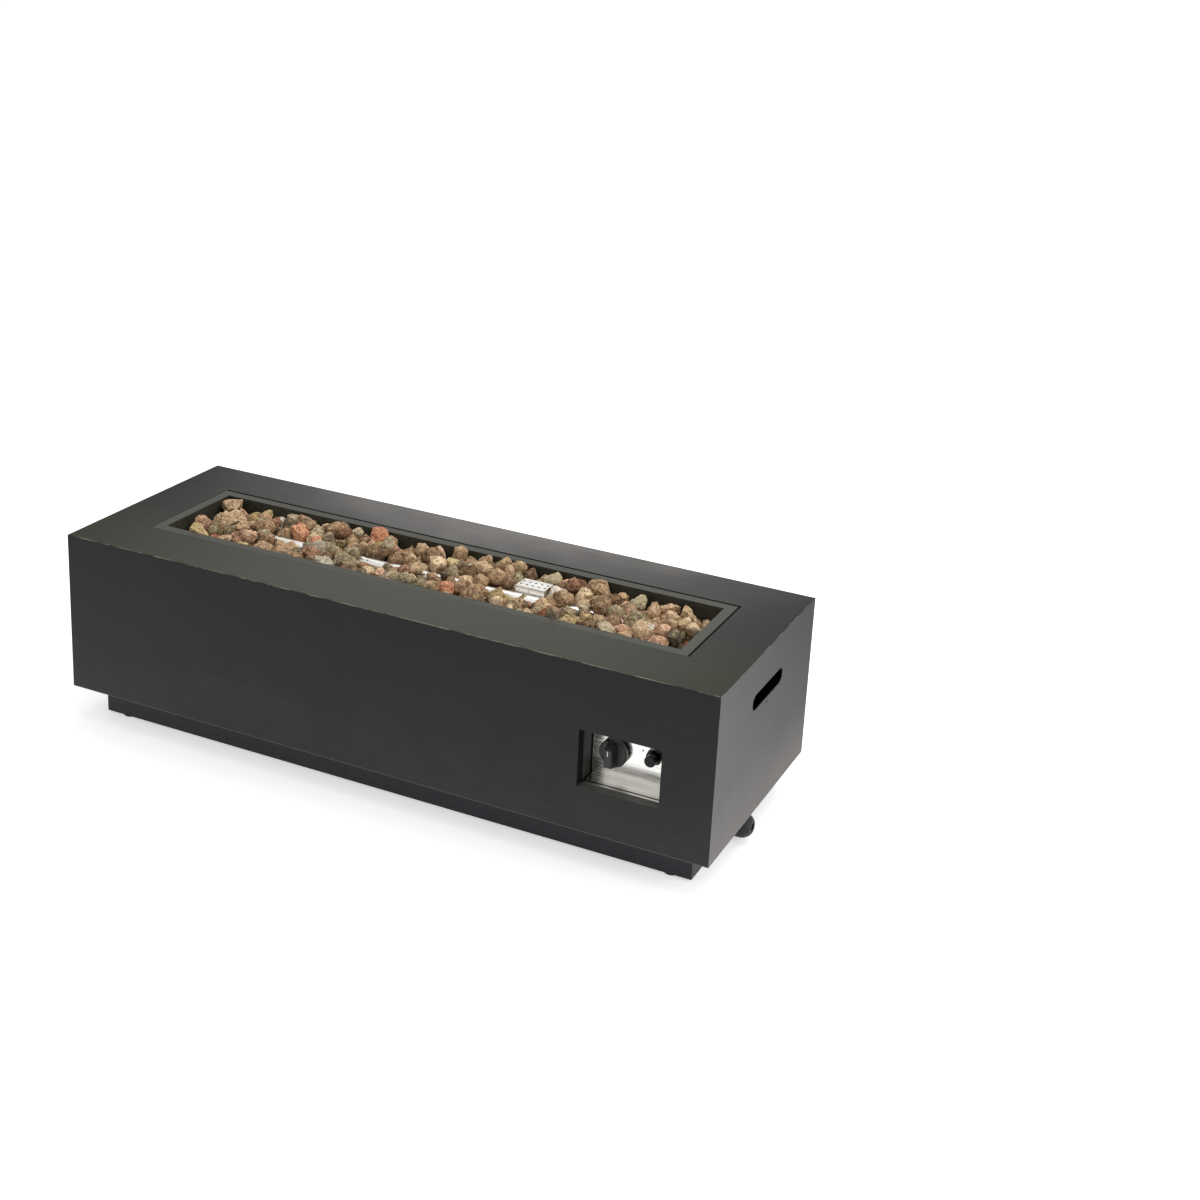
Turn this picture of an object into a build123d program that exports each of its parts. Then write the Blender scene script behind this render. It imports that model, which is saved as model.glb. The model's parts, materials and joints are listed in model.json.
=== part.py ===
from build123d import *
import math
import os
import random

# Gas fire pit: a long sheet-steel casing on a recessed plinth, a drop-in burner pan filled with lava
# stones, and a control recess with a push-and-turn gas valve and a push-button igniter.
# Millimetres, +Z up, origin on the floor under the middle. The front faces -Y, the controls are at +X.

# General
CUT_OVERRUN = 5.0  # how far a cut runs past the face it starts from
SEAT_GAP = 0.3  # clearance round a fixed piece that sits in a curved seat
RUNNING_GAP = 0.05  # radial clearance of a shaft that turns or slides in its bore

# Casing
LENGTH = 1422.0
DEPTH = 502.0
HEIGHT = 406.0
SHEET = 1.5
TOP_EDGE_RADIUS = 1.0
OPENING_END_MARGIN = 112.0  # casing end to the opening for the pan
OPENING_SIDE_MARGIN = 120.0  # casing front or back to the opening
OPENING_SHIFT_X = 1.8  # the pan lies towards the front and left of its opening
OPENING_SHIFT_Y = 2.7
POST_WIDTH = 30.0
HAND_SLOT_LENGTH = 158.0
HAND_SLOT_HEIGHT = 32.0
HAND_SLOT_DROP = 91.0  # top of the casing to the middle of the slot
SLOT_HOLE_RADIUS = 2.5
SLOT_HOLE_DROP = 8.5  # lower edge of the slot to the small hole under it

# Base tray
TRAY_EDGE_HEIGHT = 18.0
VENT_LENGTH = 110.0
VENT_WIDTH = 12.0
VENT_PITCH_Y = 44.0
VENT_COLUMN_COUNT = 6
VENT_ROW_COUNT = 5
HOSE_HOLE_RADIUS = 32.0
HOSE_HOLE_INSET = 110.0  # casing end to the hose hole

# Plinth and feet
PLINTH_INSET = 48.0
PLINTH_HEIGHT = 65.0
PLINTH_LOWER_FLANGE = 30.0
PLINTH_UPPER_FLANGE = 22.0
FOOT_HEIGHT = 5.0
FOOT_RADIUS = 14.0
FOOT_CHAMFER = 1.0
FOOT_STUD_RADIUS = 4.0
FOOT_HEAD_RADIUS = 8.0
FOOT_HEAD_HEIGHT = 3.0
FOOT_END_INSET = 46.0  # plinth end to the foot's axis
FOOT_SIDE_INSET = 16.0  # plinth front or back to the foot's axis
TRAY_SCREW_RADIUS = 2.5
TRAY_SCREW_HEAD_RADIUS = 5.0
TRAY_SCREW_HEAD_HEIGHT = 3.0
TRAY_SCREW_TAIL = 6.0
RAIL_SCREW_COUNT = 4

# Hose grommet on the right plinth rail
GROMMET_OFFSET_Y = -15.0  # middle of the rail to the boot's axis
GROMMET_RISE = 27.0  # underside of the plinth to the boot's axis
GROMMET_RADIUS = 25.0
GROMMET_REACH = 46.0
GROMMET_RIM = 24.0  # straight rim before the dome
GROMMET_NOSE_RADIUS = 13.0
GROMMET_NECK_RADIUS = 17.0
GROMMET_LIP_RADIUS = 20.0
GROMMET_LIP_DEPTH = 4.0
HOSE_BORE_RADIUS = 8.5

# Pan and its ledge
PAN_GAP = 3.0  # groove between the pan's flange and the top sheet, if the pan lay in the middle
PAN_FLANGE = 21.0
PAN_DEPTH = 60.0
PAN_DRAFT = 8.0  # how far each wall leans in towards the floor
LEDGE_LAP = 15.0  # ledge under the top sheet
LEDGE_WIDTH = 16.0  # ledge inside the opening
LEDGE_LEG = 22.0
DRAIN_RADIUS = 4.0
DRAIN_INSET = 117.5  # pan floor's end to the drain hole

# Burner
BURNER_RADIUS = 12.7
BURNER_WALL = 1.2
BURNER_END_GAP = 67.5  # pan floor's end to the tube's end
BURNER_DROP = 30.0  # top of the casing to the tube's axis
BURNER_CAP_THICKNESS = 3.0
BURNER_CAP_RADIUS = 13.5
PORT_RADIUS = 1.6
PORT_END_GAP = 38.0
PORT_COUNT = 22
PORT_TILT = 35.0  # degrees from upright
STAND_INSET = 120.0  # tube's end to the middle of its cradle
STAND_WIDTH = 28.0
STAND_THICKNESS = 3.0
STAND_FOOT = 20.0
STAND_TOP_DROP = 6.0  # tube's axis to the top of its cradle
MIXER_RADIUS = 11.0
MIXER_BORE_RADIUS = 8.5
MIXER_LENGTH = 75.0  # below the pan
MIXER_FLANGE_RADIUS = 15.0
MIXER_FLANGE_THICKNESS = 3.0
MIXER_WINDOW_WIDTH = 8.0
MIXER_WINDOW_HEIGHT = 18.0
MIXER_WINDOW_RISE = 22.0  # lower end of the mixer to the middle of its air windows
LOCKNUT_RADIUS = 19.0
LOCKNUT_THICKNESS = 8.0
JET_HEX_RADIUS = 14.0
JET_HEX_HEIGHT = 10.0
JET_SPIGOT_HEIGHT = 8.0
JET_NOZZLE_RADIUS = 3.0
JET_NOZZLE_HEIGHT = 6.0
FLARE_RADIUS = 7.9
FLARE_LENGTH = 16.0
FLARE_BORE_RADIUS = 3.5
JET_BORE_RADIUS = 0.8
LINE_RADIUS = 6.0
LINE_BORE_RADIUS = 4.0
LINE_NUT_RADIUS = 12.0
LINE_NUT_LENGTH = 24.0
LINE_BEND = 50.0  # each end of the line to its first corner
LINE_SAG = 80.0  # jet to the line's lowest corner
LINE_RUN_IN = 110.0  # outlet to the corner before its last one
LINE_LEAN = 25.0  # how far those two corners lie aside or below

# Ignition group behind the burner
GUARD_X = 204.0
GUARD_LENGTH = 63.0
GUARD_DEPTH = 40.0
GUARD_DROP = 8.0  # top of the casing to the top of the guard
GUARD_SHEET = 1.2
GUARD_FOLD = 14.0  # front and back aprons
GUARD_FOOT = 9.0
GUARD_BURNER_GAP = 2.0
GUARD_HOLE_RADIUS = 2.6
GUARD_COLUMN_COUNT = 5
GUARD_ROW_COUNT = 2
GUARD_HOLE_PITCH_X = 13.0
GUARD_HOLE_PITCH_Y = 14.0
GUARD_WALL_HOLE_COUNT = 2
PILOT_SHELF_RISE = 22.0
PILOT_SHELF_LENGTH = 44.0
PILOT_SHELF_DEPTH = 20.0
PILOT_SPACING = 24.0  # electrode to thermocouple
ELECTRODE_RADIUS = 3.5
ELECTRODE_RISE = 10.0  # ceramic above the shelf
ELECTRODE_TIP_RADIUS = 1.0
ELECTRODE_TIP_HEIGHT = 8.0
THERMOCOUPLE_RADIUS = 3.0
THERMOCOUPLE_RISE = 14.0
SENSOR_COLLAR_RADIUS = 5.5
SENSOR_COLLAR_HEIGHT = 3.0
SENSOR_TAIL = 22.0  # below the pan

# Lava stones
STONE_ROW_COUNT = 2  # on each side of the burner
STONE_PITCH = 42.0
STONE_GAP = 0.6
STONE_BURNER_GAP = 3.0
STONE_MIN_HEIGHT = 37.0
STONE_MAX_HEIGHT = 44.0
STONE_SHAPE_COUNT = 7
STONE_SIDE_COUNT = 7
STONE_UPPER_FLAT_COUNT = 6
STONE_LOWER_FLAT_COUNT = 3
STONE_SEED = 5
STONE_FLAT_ANGLES = (32.0, 62.0)  # degrees above or below the level
STONE_RADIUS_SHARES = (0.86, 1.0)  # corners of the plan, of the cell's radius
STONE_FLAT_SHARES = (0.66, 0.80)  # distance of the upper flats, of the half size

# Control recess
WINDOW_LENGTH = 163.0
WINDOW_HEIGHT = 115.0
WINDOW_END_MARGIN = 102.5  # casing end to the window
WINDOW_DROP = 189.0  # top of the casing to the middle of the window
RETURN_DEPTH = 25.0
TRIM_DEPTH = 5.0  # bright trim inside the rear edge of the return
GASKET_THICKNESS = 4.5  # between the return and the liner
BOX_DEPTH = 29.5
BOX_SHEET = 1.2
BOX_STEP = 1.0  # how far the bright liner stands inside the painted return
BOX_FLANGE = 14.0
PLATE_SHEET = 1.5
PLATE_SCREW_RADIUS = 2.0
PLATE_SCREW_HEAD_RADIUS = 3.8
PLATE_SCREW_HEAD_HEIGHT = 2.4
PLATE_SCREW_TAIL = 5.0

# Gas valve, measured from the middle of the window and from the front face of the plate
KNOB_OFFSET_X = -32.0
KNOB_OFFSET_Z = 1.0
BONNET_SIZE = 46.0
BONNET_CORNER = 6.0
BONNET_THICKNESS = 8.0
NECK_RADIUS = 8.0
NECK_REACH = 9.0
NECK_NUT_RADIUS = 12.0
NECK_NUT_THICKNESS = 4.0
VALVE_RADIUS = 21.0
VALVE_LENGTH = 40.0
VALVE_END_WALL = 8.0
VALVE_BOSS_RADIUS = 11.0
VALVE_PORT_REACH = 25.0  # valve axis to the face of each port boss
VALVE_PORT_RADIUS = 3.5
NIPPLE_HEX_RADIUS = 11.5
NIPPLE_HEX_HEIGHT = 8.0
ROTOR_RADIUS = 11.0
ROTOR_PLAY = 0.3
ROTOR_COUNTERBORE_RADIUS = 6.5
ROTOR_COUNTERBORE_DEPTH = 12.0
ROTOR_SOCKET_DEPTH = 22.0
ROTOR_PORT_RADIUS = 2.5
ROTOR_PORT_INSET = 4.0  # rear end of the rotor to its gas ports
STEM_RADIUS = 4.0
STEM_COLLAR_RADIUS = 6.0
STEM_COLLAR_LENGTH = 3.0
STEM_TANG = 5.0
STEM_TANG_GAP = 0.15
STEM_TANG_DEPTH = 17.0  # front of the rotor to the tang's end
STEM_FLAT = 1.2
STEM_GRIP = 14.0  # stem inside the knob
KNOB_RADIUS = 27.5
KNOB_STANDOFF = 5.0  # plate to the back of the knob
KNOB_SKIRT = 11.0
KNOB_DEPTH = 34.0
KNOB_EDGE = 2.0
KNOB_GRIP_WIDTH = 20.0  # at the skirt
KNOB_GRIP_LENGTH = 46.0
KNOB_GRIP_FRONT_WIDTH = 14.0
KNOB_GRIP_FRONT_LENGTH = 36.0
KNOB_GRIP_EDGE = 1.2
KNOB_HOLLOW_RADIUS = 15.0
KNOB_TRAVEL = 4.0
TRAVEL_GAP = 0.6  # left over at the end of a push

# Igniter, measured from the middle of the window and from the front face of the plate
IGNITER_OFFSET_X = 45.0
IGNITER_OFFSET_Z = 10.0
IGNITER_BODY_RADIUS = 13.0
IGNITER_NECK_RADIUS = 10.0
IGNITER_NECK_REACH = 8.0
IGNITER_END_WALL = 4.0
IGNITER_NUT_RADIUS = 16.0
IGNITER_NUT_HEIGHT = 7.5
IGNITER_NUT_CHAMFER = 1.0
BUTTON_RADIUS = 11.0
BUTTON_STEM_RADIUS = 8.0
BUTTON_LENGTH = 13.0
BUTTON_EDGE = 1.5
BUTTON_TRAVEL = 4.0
BUTTON_STEM_LENGTH = 18.0
BATTERY_RADIUS = 7.25
BATTERY_LENGTH = 49.0
BATTERY_TIP_RADIUS = 2.5
BATTERY_TIP_HEIGHT = 1.5
BATTERY_GAP = 0.2
IGNITER_TERMINAL_RADIUS = 4.0
IGNITER_TERMINAL_LENGTH = 6.0
IGNITER_LEAD_RADIUS = 2.5
THERMOCOUPLE_LEAD_RADIUS = 1.6
LEAD_BEND = 60.0  # end of a lead to its first corner
LEAD_LEAN = 20.0  # rise or fall to a lead's next corner
IGNITER_LEAD_SAG = 96.0  # electrode's end to the lead's lowest corner
THERMOCOUPLE_LEAD_SAG = 48.0

# Heat shield over the controls
SHIELD_LENGTH = 230.0
SHIELD_DROP = 44.0  # underside of the pan to the shield
SHIELD_FLANGE = 14.0

# Places that follow from the sizes
half_length = LENGTH / 2
half_depth = DEPTH / 2
casing_z = FOOT_HEIGHT + PLINTH_HEIGHT
panel_top_z = HEIGHT - SHEET
tray_top_z = casing_z + SHEET
inner_half_length = half_length - SHEET
inner_half_depth = half_depth - SHEET
plinth_half_length = half_length - PLINTH_INSET
plinth_half_depth = half_depth - PLINTH_INSET
hand_slot_z = HEIGHT - HAND_SLOT_DROP
foot_x = plinth_half_length - FOOT_END_INSET
foot_y = plinth_half_depth - FOOT_SIDE_INSET
grommet_z = FOOT_HEIGHT + GROMMET_RISE

opening_length = LENGTH - 2 * OPENING_END_MARGIN
opening_depth = DEPTH - 2 * OPENING_SIDE_MARGIN
pan_length = opening_length - 2 * PAN_GAP
pan_depth = opening_depth - 2 * PAN_GAP
mouth_length = pan_length - 2 * PAN_FLANGE
mouth_depth = pan_depth - 2 * PAN_FLANGE
floor_length = mouth_length - 2 * PAN_DRAFT
floor_depth = mouth_depth - 2 * PAN_DRAFT
floor_z = HEIGHT - PAN_DEPTH
pan_under_z = floor_z - SHEET
burner_z = HEIGHT - BURNER_DROP
burner_length = floor_length - 2 * BURNER_END_GAP
port_pitch = (burner_length - 2 * PORT_END_GAP) / (PORT_COUNT - 1)
mixer_bottom_z = pan_under_z - MIXER_LENGTH
guard_y = BURNER_RADIUS + GUARD_BURNER_GAP + GUARD_DEPTH / 2
guard_top_z = HEIGHT - GUARD_DROP
pilot_shelf_z = floor_z + PILOT_SHELF_RISE

window_x = half_length - WINDOW_END_MARGIN - WINDOW_LENGTH / 2
window_z = HEIGHT - WINDOW_DROP
box_length = WINDOW_LENGTH - 2 * BOX_STEP
box_height = WINDOW_HEIGHT - 2 * BOX_STEP
box_front_y = RETURN_DEPTH + GASKET_THICKNESS - half_depth
plate_y = box_front_y + BOX_DEPTH
plate_length = box_length + 2 * (BOX_SHEET + BOX_FLANGE)
plate_height = box_height + 2 * (BOX_SHEET + BOX_FLANGE)
screw_span_x = plate_length - BOX_FLANGE
screw_span_z = plate_height - BOX_FLANGE
knob_x = window_x + KNOB_OFFSET_X
knob_z = window_z + KNOB_OFFSET_Z
igniter_x = window_x + IGNITER_OFFSET_X
igniter_z = window_z + IGNITER_OFFSET_Z

# Planes that look out of the front face, with X to the right and Z up
window_face = Plane(origin=(window_x, -half_depth, window_z), x_dir=(1, 0, 0), z_dir=(0, -1, 0))
plate_face = Plane(origin=(window_x, plate_y, window_z), x_dir=(1, 0, 0), z_dir=(0, -1, 0))
knob_face = Plane(origin=(knob_x, plate_y, knob_z), x_dir=(1, 0, 0), z_dir=(0, -1, 0))
igniter_face = Plane(origin=(igniter_x, plate_y, igniter_z), x_dir=(1, 0, 0), z_dir=(0, -1, 0))

SIDE_TURNS = {"front": 0, "right": 90, "back": 180, "left": 270}

os.makedirs("parts", exist_ok=True)


def side_plane(side, height):
    """Level plane at a height, turned so that the named side lies towards its own -Y."""
    return Plane.XY.offset(height).rotated((0, 0, SIDE_TURNS[side]))


def strip_points(side, half_x, half_y, width):
    """Plan of one mitred side of a rectangular frame, for use on its side_plane."""
    run, reach = (half_x, half_y) if side in ("front", "back") else (half_y, half_x)
    return [(-run, -reach), (run, -reach), (run - width, width - reach), (width - run, width - reach)]


def route_radii(points):
    """Largest tangent arc at each inner point of a route: 0.45 of its shorter run over tan(half turn)."""
    run_share = 0.45
    corners = [Vector(*point) for point in points]
    radii = []
    for before, corner, after in zip(corners, corners[1:], corners[2:]):
        half_turn = math.radians((corner - before).get_angle(after - corner)) / 2
        shorter = min((corner - before).length, (after - corner).length)
        radii.append(run_share * shorter / math.tan(half_turn))
    return radii


# Casing panels, mitred at the vertical corners
def casing_panel(side):
    with BuildPart() as panel:
        with BuildSketch(side_plane(side, casing_z)):
            Polygon(*strip_points(side, half_length, half_depth, SHEET), align=None)
        extrude(amount=panel_top_z - casing_z)
    return panel


with BuildPart() as back_panel:
    add(casing_panel("back").part)
back_panel.part.label = "back_panel"
export_step(back_panel.part, "parts/back_panel.step")

with BuildPart() as front_panel:
    add(casing_panel("front").part)
    # The return is folded in round the control window
    with BuildSketch(window_face):
        Rectangle(WINDOW_LENGTH + 2 * SHEET, WINDOW_HEIGHT + 2 * SHEET)
    extrude(amount=-RETURN_DEPTH)
    with BuildSketch(window_face):
        Rectangle(WINDOW_LENGTH, WINDOW_HEIGHT)
    extrude(amount=-(RETURN_DEPTH + CUT_OVERRUN), mode=Mode.SUBTRACT)
front_panel.part.label = "front_panel"
export_step(front_panel.part, "parts/front_panel.step")


def end_panel(side):
    """End sheet with its hand slot and the small hole under the slot."""
    face_x = half_length if side == "right" else -half_length
    with BuildPart() as panel:
        add(casing_panel(side).part)
        with BuildSketch(Plane.YZ.offset(face_x)):
            with Locations((0, hand_slot_z)):
                SlotOverall(HAND_SLOT_LENGTH, HAND_SLOT_HEIGHT)
            with Locations((0, hand_slot_z - HAND_SLOT_HEIGHT / 2 - SLOT_HOLE_DROP)):
                Circle(SLOT_HOLE_RADIUS)
        extrude(amount=SHEET + CUT_OVERRUN, both=True, mode=Mode.SUBTRACT)
    return panel


for end in ("left", "right"):
    end_sheet = end_panel(end)
    end_sheet.part.label = f"{end}_end_panel"
    export_step(end_sheet.part, f"parts/{end}_end_panel.step")

# Top sheet with the opening for the pan and a softened outer edge
with BuildPart() as top_surround:
    with BuildSketch(Plane.XY.offset(panel_top_z)):
        Rectangle(LENGTH, DEPTH)
        with Locations((OPENING_SHIFT_X, OPENING_SHIFT_Y)):
            Rectangle(opening_length, opening_depth, mode=Mode.SUBTRACT)
    extrude(amount=SHEET)
    top_face = top_surround.faces().sort_by(Axis.Z)[-1]
    fillet(top_face.outer_wire().edges(), radius=TOP_EDGE_RADIUS)
top_surround.part.label = "top_surround"
export_step(top_surround.part, "parts/top_surround.step")

# Folded angles inside the four corners
with BuildPart() as corner_posts:
    with BuildSketch(Plane.XY.offset(tray_top_z)):
        with GridLocations(2 * inner_half_length - POST_WIDTH, 2 * inner_half_depth - SHEET, 2, 2):
            Rectangle(POST_WIDTH, SHEET)
        with GridLocations(2 * inner_half_length - SHEET, 2 * inner_half_depth - POST_WIDTH, 2, 2):
            Rectangle(SHEET, POST_WIDTH)
    extrude(amount=panel_top_z - tray_top_z)
corner_posts.part.label = "corner_posts"
export_step(corner_posts.part, "parts/corner_posts.step")

# Places of the screws that hold the tray down on the plinth
screw_y = plinth_half_depth - SHEET - (PLINTH_UPPER_FLANGE - SHEET) / 2
screw_x = plinth_half_length - SHEET - (PLINTH_UPPER_FLANGE - SHEET) / 2
screw_pitch = 2 * plinth_half_length / RAIL_SCREW_COUNT
long_screws = [
    ((step - (RAIL_SCREW_COUNT - 1) / 2) * screw_pitch, side * screw_y)
    for side in (-1, 1)
    for step in range(RAIL_SCREW_COUNT)
]
end_screws = [(side * screw_x, 0) for side in (-1, 1)]
tray_screw_places = long_screws + end_screws
foot_places = [(side_x * foot_x, side_y * foot_y) for side_x in (-1, 1) for side_y in (-1, 1)]

# Floor sheet with vent slots, the hose hole and turned-up edges between the posts
vent_pitch_x = 2 * inner_half_length / (VENT_COLUMN_COUNT + 1)
with BuildPart() as base_tray:
    with BuildSketch(Plane.XY.offset(casing_z)):
        Rectangle(2 * inner_half_length, 2 * inner_half_depth)
        with GridLocations(vent_pitch_x, VENT_PITCH_Y, VENT_COLUMN_COUNT, VENT_ROW_COUNT):
            SlotOverall(VENT_LENGTH, VENT_WIDTH, mode=Mode.SUBTRACT)
        with Locations((half_length - HOSE_HOLE_INSET, 0)):
            Circle(HOSE_HOLE_RADIUS, mode=Mode.SUBTRACT)
        with Locations(*tray_screw_places):
            Circle(TRAY_SCREW_RADIUS + SEAT_GAP, mode=Mode.SUBTRACT)
    extrude(amount=SHEET)
    with BuildSketch(Plane.XY.offset(tray_top_z)):
        with GridLocations(0, 2 * inner_half_depth - SHEET, 1, 2):
            Rectangle(2 * (inner_half_length - POST_WIDTH - SHEET), SHEET)
        with GridLocations(2 * inner_half_length - SHEET, 0, 2, 1):
            Rectangle(SHEET, 2 * (inner_half_depth - POST_WIDTH - SHEET))
    extrude(amount=TRAY_EDGE_HEIGHT)
base_tray.part.label = "base_tray"
export_step(base_tray.part, "parts/base_tray.step")


# Plinth: four channel rails with mitred ends
def plinth_rail(side):
    with BuildPart() as rail:
        layers = (
            (FOOT_HEIGHT, SHEET, PLINTH_LOWER_FLANGE),
            (FOOT_HEIGHT, PLINTH_HEIGHT, SHEET),
            (casing_z - SHEET, SHEET, PLINTH_UPPER_FLANGE),
        )
        for layer_z, layer_height, layer_width in layers:
            with BuildSketch(side_plane(side, layer_z)):
                Polygon(*strip_points(side, plinth_half_length, plinth_half_depth, layer_width), align=None)
            extrude(amount=layer_height)
        with BuildSketch(Plane.XY.offset(casing_z)):
            with Locations(*tray_screw_places):
                Circle(TRAY_SCREW_RADIUS + SEAT_GAP)
        extrude(amount=-(SHEET + CUT_OVERRUN), mode=Mode.SUBTRACT)
        with BuildSketch(Plane.XY.offset(FOOT_HEIGHT)):
            with Locations(*foot_places):
                Circle(FOOT_STUD_RADIUS + SEAT_GAP)
        extrude(amount=SHEET + CUT_OVERRUN, mode=Mode.SUBTRACT)
        if side == "right":
            with BuildSketch(Plane.YZ.offset(plinth_half_length)):
                with Locations((GROMMET_OFFSET_Y, grommet_z)):
                    Circle(GROMMET_NECK_RADIUS + SEAT_GAP)
            extrude(amount=-(SHEET + CUT_OVERRUN), mode=Mode.SUBTRACT)
    return rail


for side in SIDE_TURNS:
    rail = plinth_rail(side)
    rail.part.label = f"plinth_{side}_rail"
    export_step(rail.part, f"parts/plinth_{side}_rail.step")

with BuildPart() as tray_screws:
    with BuildSketch(Plane.XY.offset(tray_top_z)):
        with Locations(*tray_screw_places):
            Circle(TRAY_SCREW_HEAD_RADIUS)
    extrude(amount=TRAY_SCREW_HEAD_HEIGHT)
    with BuildSketch(Plane.XY.offset(tray_top_z)):
        with Locations(*tray_screw_places):
            Circle(TRAY_SCREW_RADIUS)
    extrude(amount=-(2 * SHEET + TRAY_SCREW_TAIL))
tray_screws.part.label = "tray_screws"
export_step(tray_screws.part, "parts/tray_screws.step")

# Round glides whose studs are headed over inside the plinth
with BuildPart() as glide_feet:
    with BuildSketch():
        with Locations(*foot_places):
            Circle(FOOT_RADIUS)
    extrude(amount=FOOT_HEIGHT)
    chamfer(glide_feet.faces().group_by(Axis.Z)[0].edges(), length=FOOT_CHAMFER)
    with BuildSketch(Plane.XY.offset(FOOT_HEIGHT)):
        with Locations(*foot_places):
            Circle(FOOT_STUD_RADIUS)
    extrude(amount=SHEET)
    with BuildSketch(Plane.XY.offset(FOOT_HEIGHT + SHEET)):
        with Locations(*foot_places):
            Circle(FOOT_HEAD_RADIUS)
    extrude(amount=FOOT_HEAD_HEIGHT)
glide_feet.part.label = "glide_feet"
export_step(glide_feet.part, "parts/glide_feet.step")

# Domed boot with a neck through the rail and a lip behind it, turned about the hose's axis
grommet_centre = (plinth_half_length, GROMMET_OFFSET_Y, grommet_z)
with BuildPart() as hose_grommet:
    with BuildSketch(Plane(origin=grommet_centre, x_dir=(1, 0, 0), z_dir=(0, -1, 0))):
        with BuildLine():
            Polyline(
                (GROMMET_REACH, GROMMET_NOSE_RADIUS),
                (GROMMET_REACH, HOSE_BORE_RADIUS),
                (-(SHEET + GROMMET_LIP_DEPTH), HOSE_BORE_RADIUS),
                (-(SHEET + GROMMET_LIP_DEPTH), GROMMET_NECK_RADIUS),
                (-SHEET, GROMMET_LIP_RADIUS),
                (-SHEET, GROMMET_NECK_RADIUS),
                (0, GROMMET_NECK_RADIUS),
                (0, GROMMET_RADIUS),
                (GROMMET_RIM, GROMMET_RADIUS),
            )
            TangentArc((GROMMET_RIM, GROMMET_RADIUS), (GROMMET_REACH, GROMMET_NOSE_RADIUS), tangent=(1, 0))
        make_face()
    revolve(axis=Axis(grommet_centre, (1, 0, 0)))
hose_grommet.part.label = "hose_grommet"
export_step(hose_grommet.part, "parts/hose_grommet.step")

# Ledge under the top sheet that the pan hangs on
with BuildPart() as pan_support_frame:
    outer_length = opening_length + 2 * LEDGE_LAP
    outer_depth = opening_depth + 2 * LEDGE_LAP
    with BuildSketch(Plane.XY.offset(panel_top_z)):
        Rectangle(outer_length, outer_depth)
        Rectangle(opening_length - 2 * LEDGE_WIDTH, opening_depth - 2 * LEDGE_WIDTH, mode=Mode.SUBTRACT)
    extrude(amount=-SHEET)
    with BuildSketch(Plane.XY.offset(panel_top_z)):
        Rectangle(outer_length, outer_depth)
        Rectangle(outer_length - 2 * SHEET, outer_depth - 2 * SHEET, mode=Mode.SUBTRACT)
    extrude(amount=-LEDGE_LEG)
pan_support_frame.part.label = "pan_support_frame"
export_step(pan_support_frame.part, "parts/pan_support_frame.step")

# Folded pan with leaning walls, a flange on the ledge and holes for the burner, pilot and rain
pilot_x_places = (GUARD_X - PILOT_SPACING / 2, GUARD_X + PILOT_SPACING / 2)
with BuildPart() as burner_pan:
    with BuildSketch(Plane.XY.offset(panel_top_z)):
        Rectangle(pan_length, pan_depth)
    extrude(amount=SHEET)
    with BuildSketch(Plane.XY.offset(HEIGHT)):
        Rectangle(mouth_length + 2 * SHEET, mouth_depth + 2 * SHEET)
    with BuildSketch(Plane.XY.offset(pan_under_z)):
        Rectangle(floor_length + 2 * SHEET, floor_depth + 2 * SHEET)
    loft()
    with BuildSketch(Plane.XY.offset(HEIGHT)):
        Rectangle(mouth_length, mouth_depth)
    with BuildSketch(Plane.XY.offset(floor_z)):
        Rectangle(floor_length, floor_depth)
    loft(mode=Mode.SUBTRACT)
    with BuildSketch(Plane.XY.offset(floor_z)):
        Circle(MIXER_RADIUS + SEAT_GAP)
        with Locations((pilot_x_places[0], guard_y)):
            Circle(ELECTRODE_RADIUS + SEAT_GAP)
        with Locations((pilot_x_places[1], guard_y)):
            Circle(THERMOCOUPLE_RADIUS + SEAT_GAP)
        with GridLocations(floor_length - 2 * DRAIN_INSET, 0, 2, 1):
            Circle(DRAIN_RADIUS)
    extrude(amount=-(SHEET + CUT_OVERRUN), mode=Mode.SUBTRACT)
burner_pan.part.label = "burner_pan"
export_step(burner_pan.part, "parts/burner_pan.step")

# Burner tube with two rows of ports and a feed hole underneath
with BuildPart() as burner_tube:
    with BuildSketch(Plane.YZ.offset(-burner_length / 2)):
        with Locations((0, burner_z)):
            Circle(BURNER_RADIUS)
            Circle(BURNER_RADIUS - BURNER_WALL, mode=Mode.SUBTRACT)
    extrude(amount=burner_length)
    for tilt in (-PORT_TILT, PORT_TILT):
        port_direction = (0, math.sin(math.radians(tilt)), math.cos(math.radians(tilt)))
        with BuildSketch(Plane(origin=(0, 0, burner_z), x_dir=(1, 0, 0), z_dir=port_direction)):
            with GridLocations(port_pitch, 0, PORT_COUNT, 1):
                Circle(PORT_RADIUS)
        extrude(amount=BURNER_RADIUS + CUT_OVERRUN, mode=Mode.SUBTRACT)
    with BuildSketch(Plane.XY.offset(burner_z)):
        Circle(MIXER_BORE_RADIUS)
    extrude(amount=-(BURNER_RADIUS + CUT_OVERRUN), mode=Mode.SUBTRACT)
burner_tube.part.label = "burner_tube"
export_step(burner_tube.part, "parts/burner_tube.step")

with BuildPart() as burner_end_caps:
    for side in (-1, 1):
        with BuildSketch(Plane.YZ.offset(side * burner_length / 2)):
            with Locations((0, burner_z)):
                Circle(BURNER_CAP_RADIUS)
        extrude(amount=side * BURNER_CAP_THICKNESS)
burner_end_caps.part.label = "burner_end_caps"
export_step(burner_end_caps.part, "parts/burner_end_caps.step")

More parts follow.
